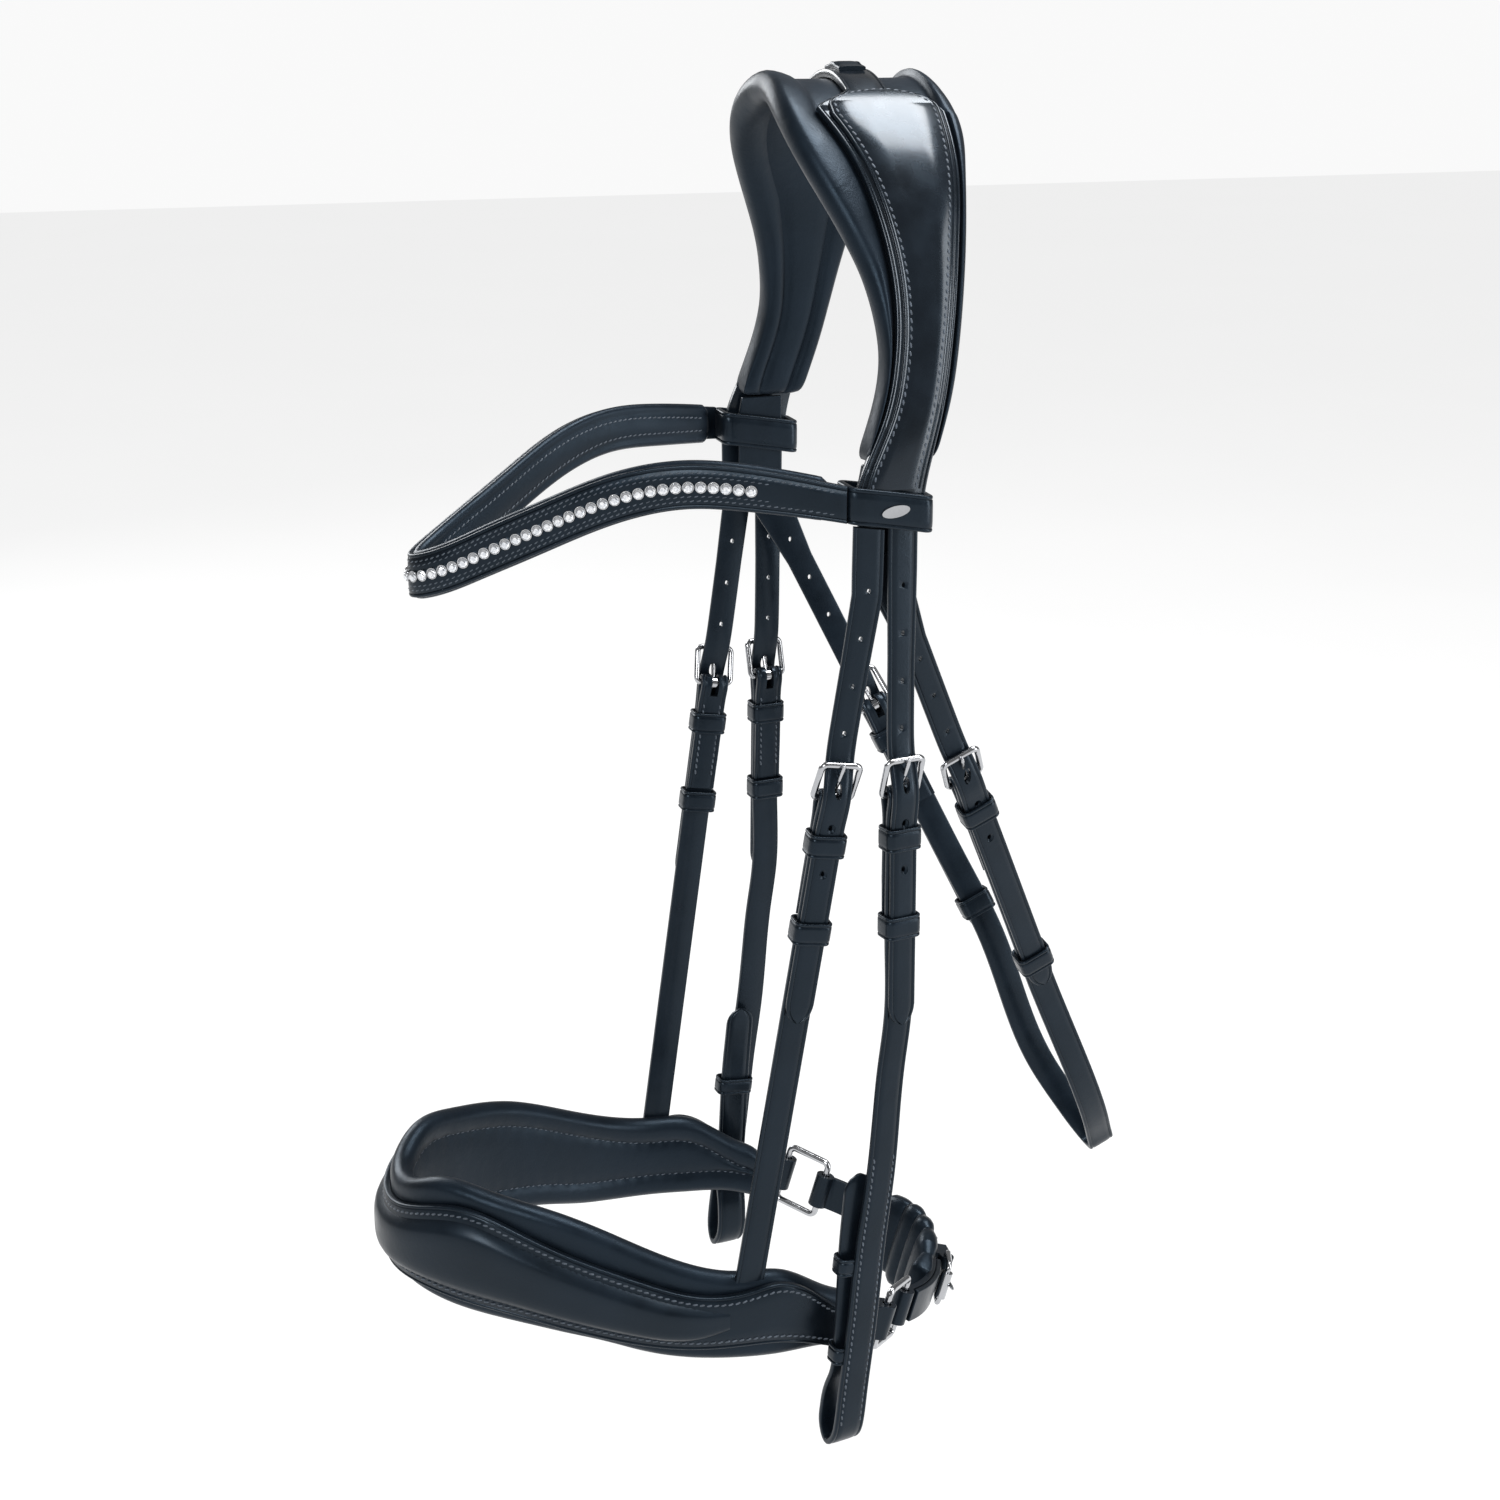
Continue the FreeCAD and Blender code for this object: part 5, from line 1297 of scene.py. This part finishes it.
def rounded(node):
    """A leather piece cut from flat hide as in the frame, its edges rounded over."""
    source = frame["nodes"][node].data.copy()
    solid = bmesh.new()
    solid.from_mesh(source)
    bmesh.ops.remove_doubles(solid, verts=solid.verts, dist=1e-6)
    bmesh.ops.dissolve_limit(solid, angle_limit=math.radians(1.5), verts=solid.verts, edges=solid.edges)
    solid.to_mesh(source)
    solid.free()
    piece = leather_piece(node + "_leather", source, STRAP, "strap_leather", node)
    source.materials.clear()
    source.materials.append(STRAP)
    bevel = piece.modifiers.new("edges", "BEVEL")
    bevel.width = BEVEL_WIDTH * MM
    bevel.segments = 3
    bevel.limit_method = "ANGLE"
    bevel.angle_limit = math.radians(40)
    bevel.use_clamp_overlap = True
    smooth(source, 40)
    return piece


def carried_over():
    """CAD pieces whose shape is right keep it and get their finish."""
    for node, piece in frame["nodes"].items():
        if piece.hide_render:
            continue
        slot = [entry["material_slot"] for entry in record["subparts"] if entry["node"] == node][0]
        if slot == "polished_steel":
            piece.data.materials.clear()
            piece.data.materials.append(STEEL)
            smooth(piece.data, 45)


# ---------------------------------------------------------------- stage

def area_light(name, place, target, size, power, size_y=None):
    data = bpy.data.lights.new(name, "AREA")
    data.energy = power
    data.size = size
    if size_y:
        data.shape = "RECTANGLE"
        data.size_y = size_y
    light = bpy.data.objects.new(name, data)
    bpy.context.scene.collection.objects.link(light)
    light.location = place
    light.rotation_euler = (Vector(target) - Vector(place)).to_track_quat("-Z", "Y").to_euler()


def stage():
    mesh = bpy.data.meshes.new("floor")
    reach = 6.0
    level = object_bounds()[0][2] - 0.06
    corners = [(x * reach, y * reach, level) for x, y in ((-1, -1), (1, -1), (1, 1), (-1, 1))]
    mesh.from_pydata(corners, [], [(0, 1, 2, 3)])
    material, tree, shader = new_material("floor")
    place = add(tree, "ShaderNodeTexCoord").outputs["Object"]
    tone = ramp(tree, noise(tree, place, 3), [(0.3, grey(0.20)), (0.7, grey(0.22))])
    tree.links.new(tone, shader.inputs["Base Color"])
    shader.inputs["Roughness"].default_value = 0.9
    shader.inputs["Emission Color"].default_value = (1, 1, 1, 1)
    shader.inputs["Emission Strength"].default_value = 0.80
    floor = make_object("floor", mesh, material)
    floor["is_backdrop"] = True
    world = bpy.data.worlds.new("studio")
    bpy.context.scene.world = world
    world.use_nodes = True
    tree = world.node_tree
    sky = tree.nodes["Background"]
    sky.inputs["Color"].default_value = (1, 1, 1, 1)
    seen = add(tree, "ShaderNodeMapRange")
    seen.inputs["To Min"].default_value = 0.22
    seen.inputs["To Max"].default_value = 0.95
    tree.links.new(add(tree, "ShaderNodeLightPath").outputs["Is Camera Ray"], seen.inputs["Value"])
    tree.links.new(seen.outputs["Result"], sky.inputs["Strength"])
    bpy.context.scene.view_settings.view_transform = "Standard"
    target = (0, -0.05, -0.26)
    area_light("key", (1.5, -1.2, 0.7), target, 0.7, 18)
    area_light("side", (1.1, 1.4, 0.1), target, 0.6, 16, 1.6)
    area_light("top", (0.05, 0.42, 1.2), (0, 0, 0), 0.8, 30)
    area_light("back", (-1.4, -0.6, 0.4), target, 0.8, 14)


def camera():
    data = bpy.data.cameras.new("camera")
    data.sensor_width = 36.0
    data.lens = 56.3
    data.shift_y = -0.11
    view = bpy.data.objects.new("camera", data)
    bpy.context.scene.collection.objects.link(view)
    view.location = (0.87507, -0.31344, 0.04685)
    turn, pitch = math.radians(72.56), math.radians(14.6)
    view.rotation_euler = (math.pi / 2 - pitch, 0, turn)
    bpy.context.scene.camera = view


for sign, side in SIDES:
    cheekpiece(sign, side)
    overlay(sign, side)
crown_leather()
crown_padding()
poll_strip()
browband()
crystals()
noseband()
throatlash()
for node in ("throat_layers", "ring_chapes", "chin_strap", "chin_billet", "chin_keepers"):
    rounded(node)
chin_pad()
carried_over()
stage()
camera()
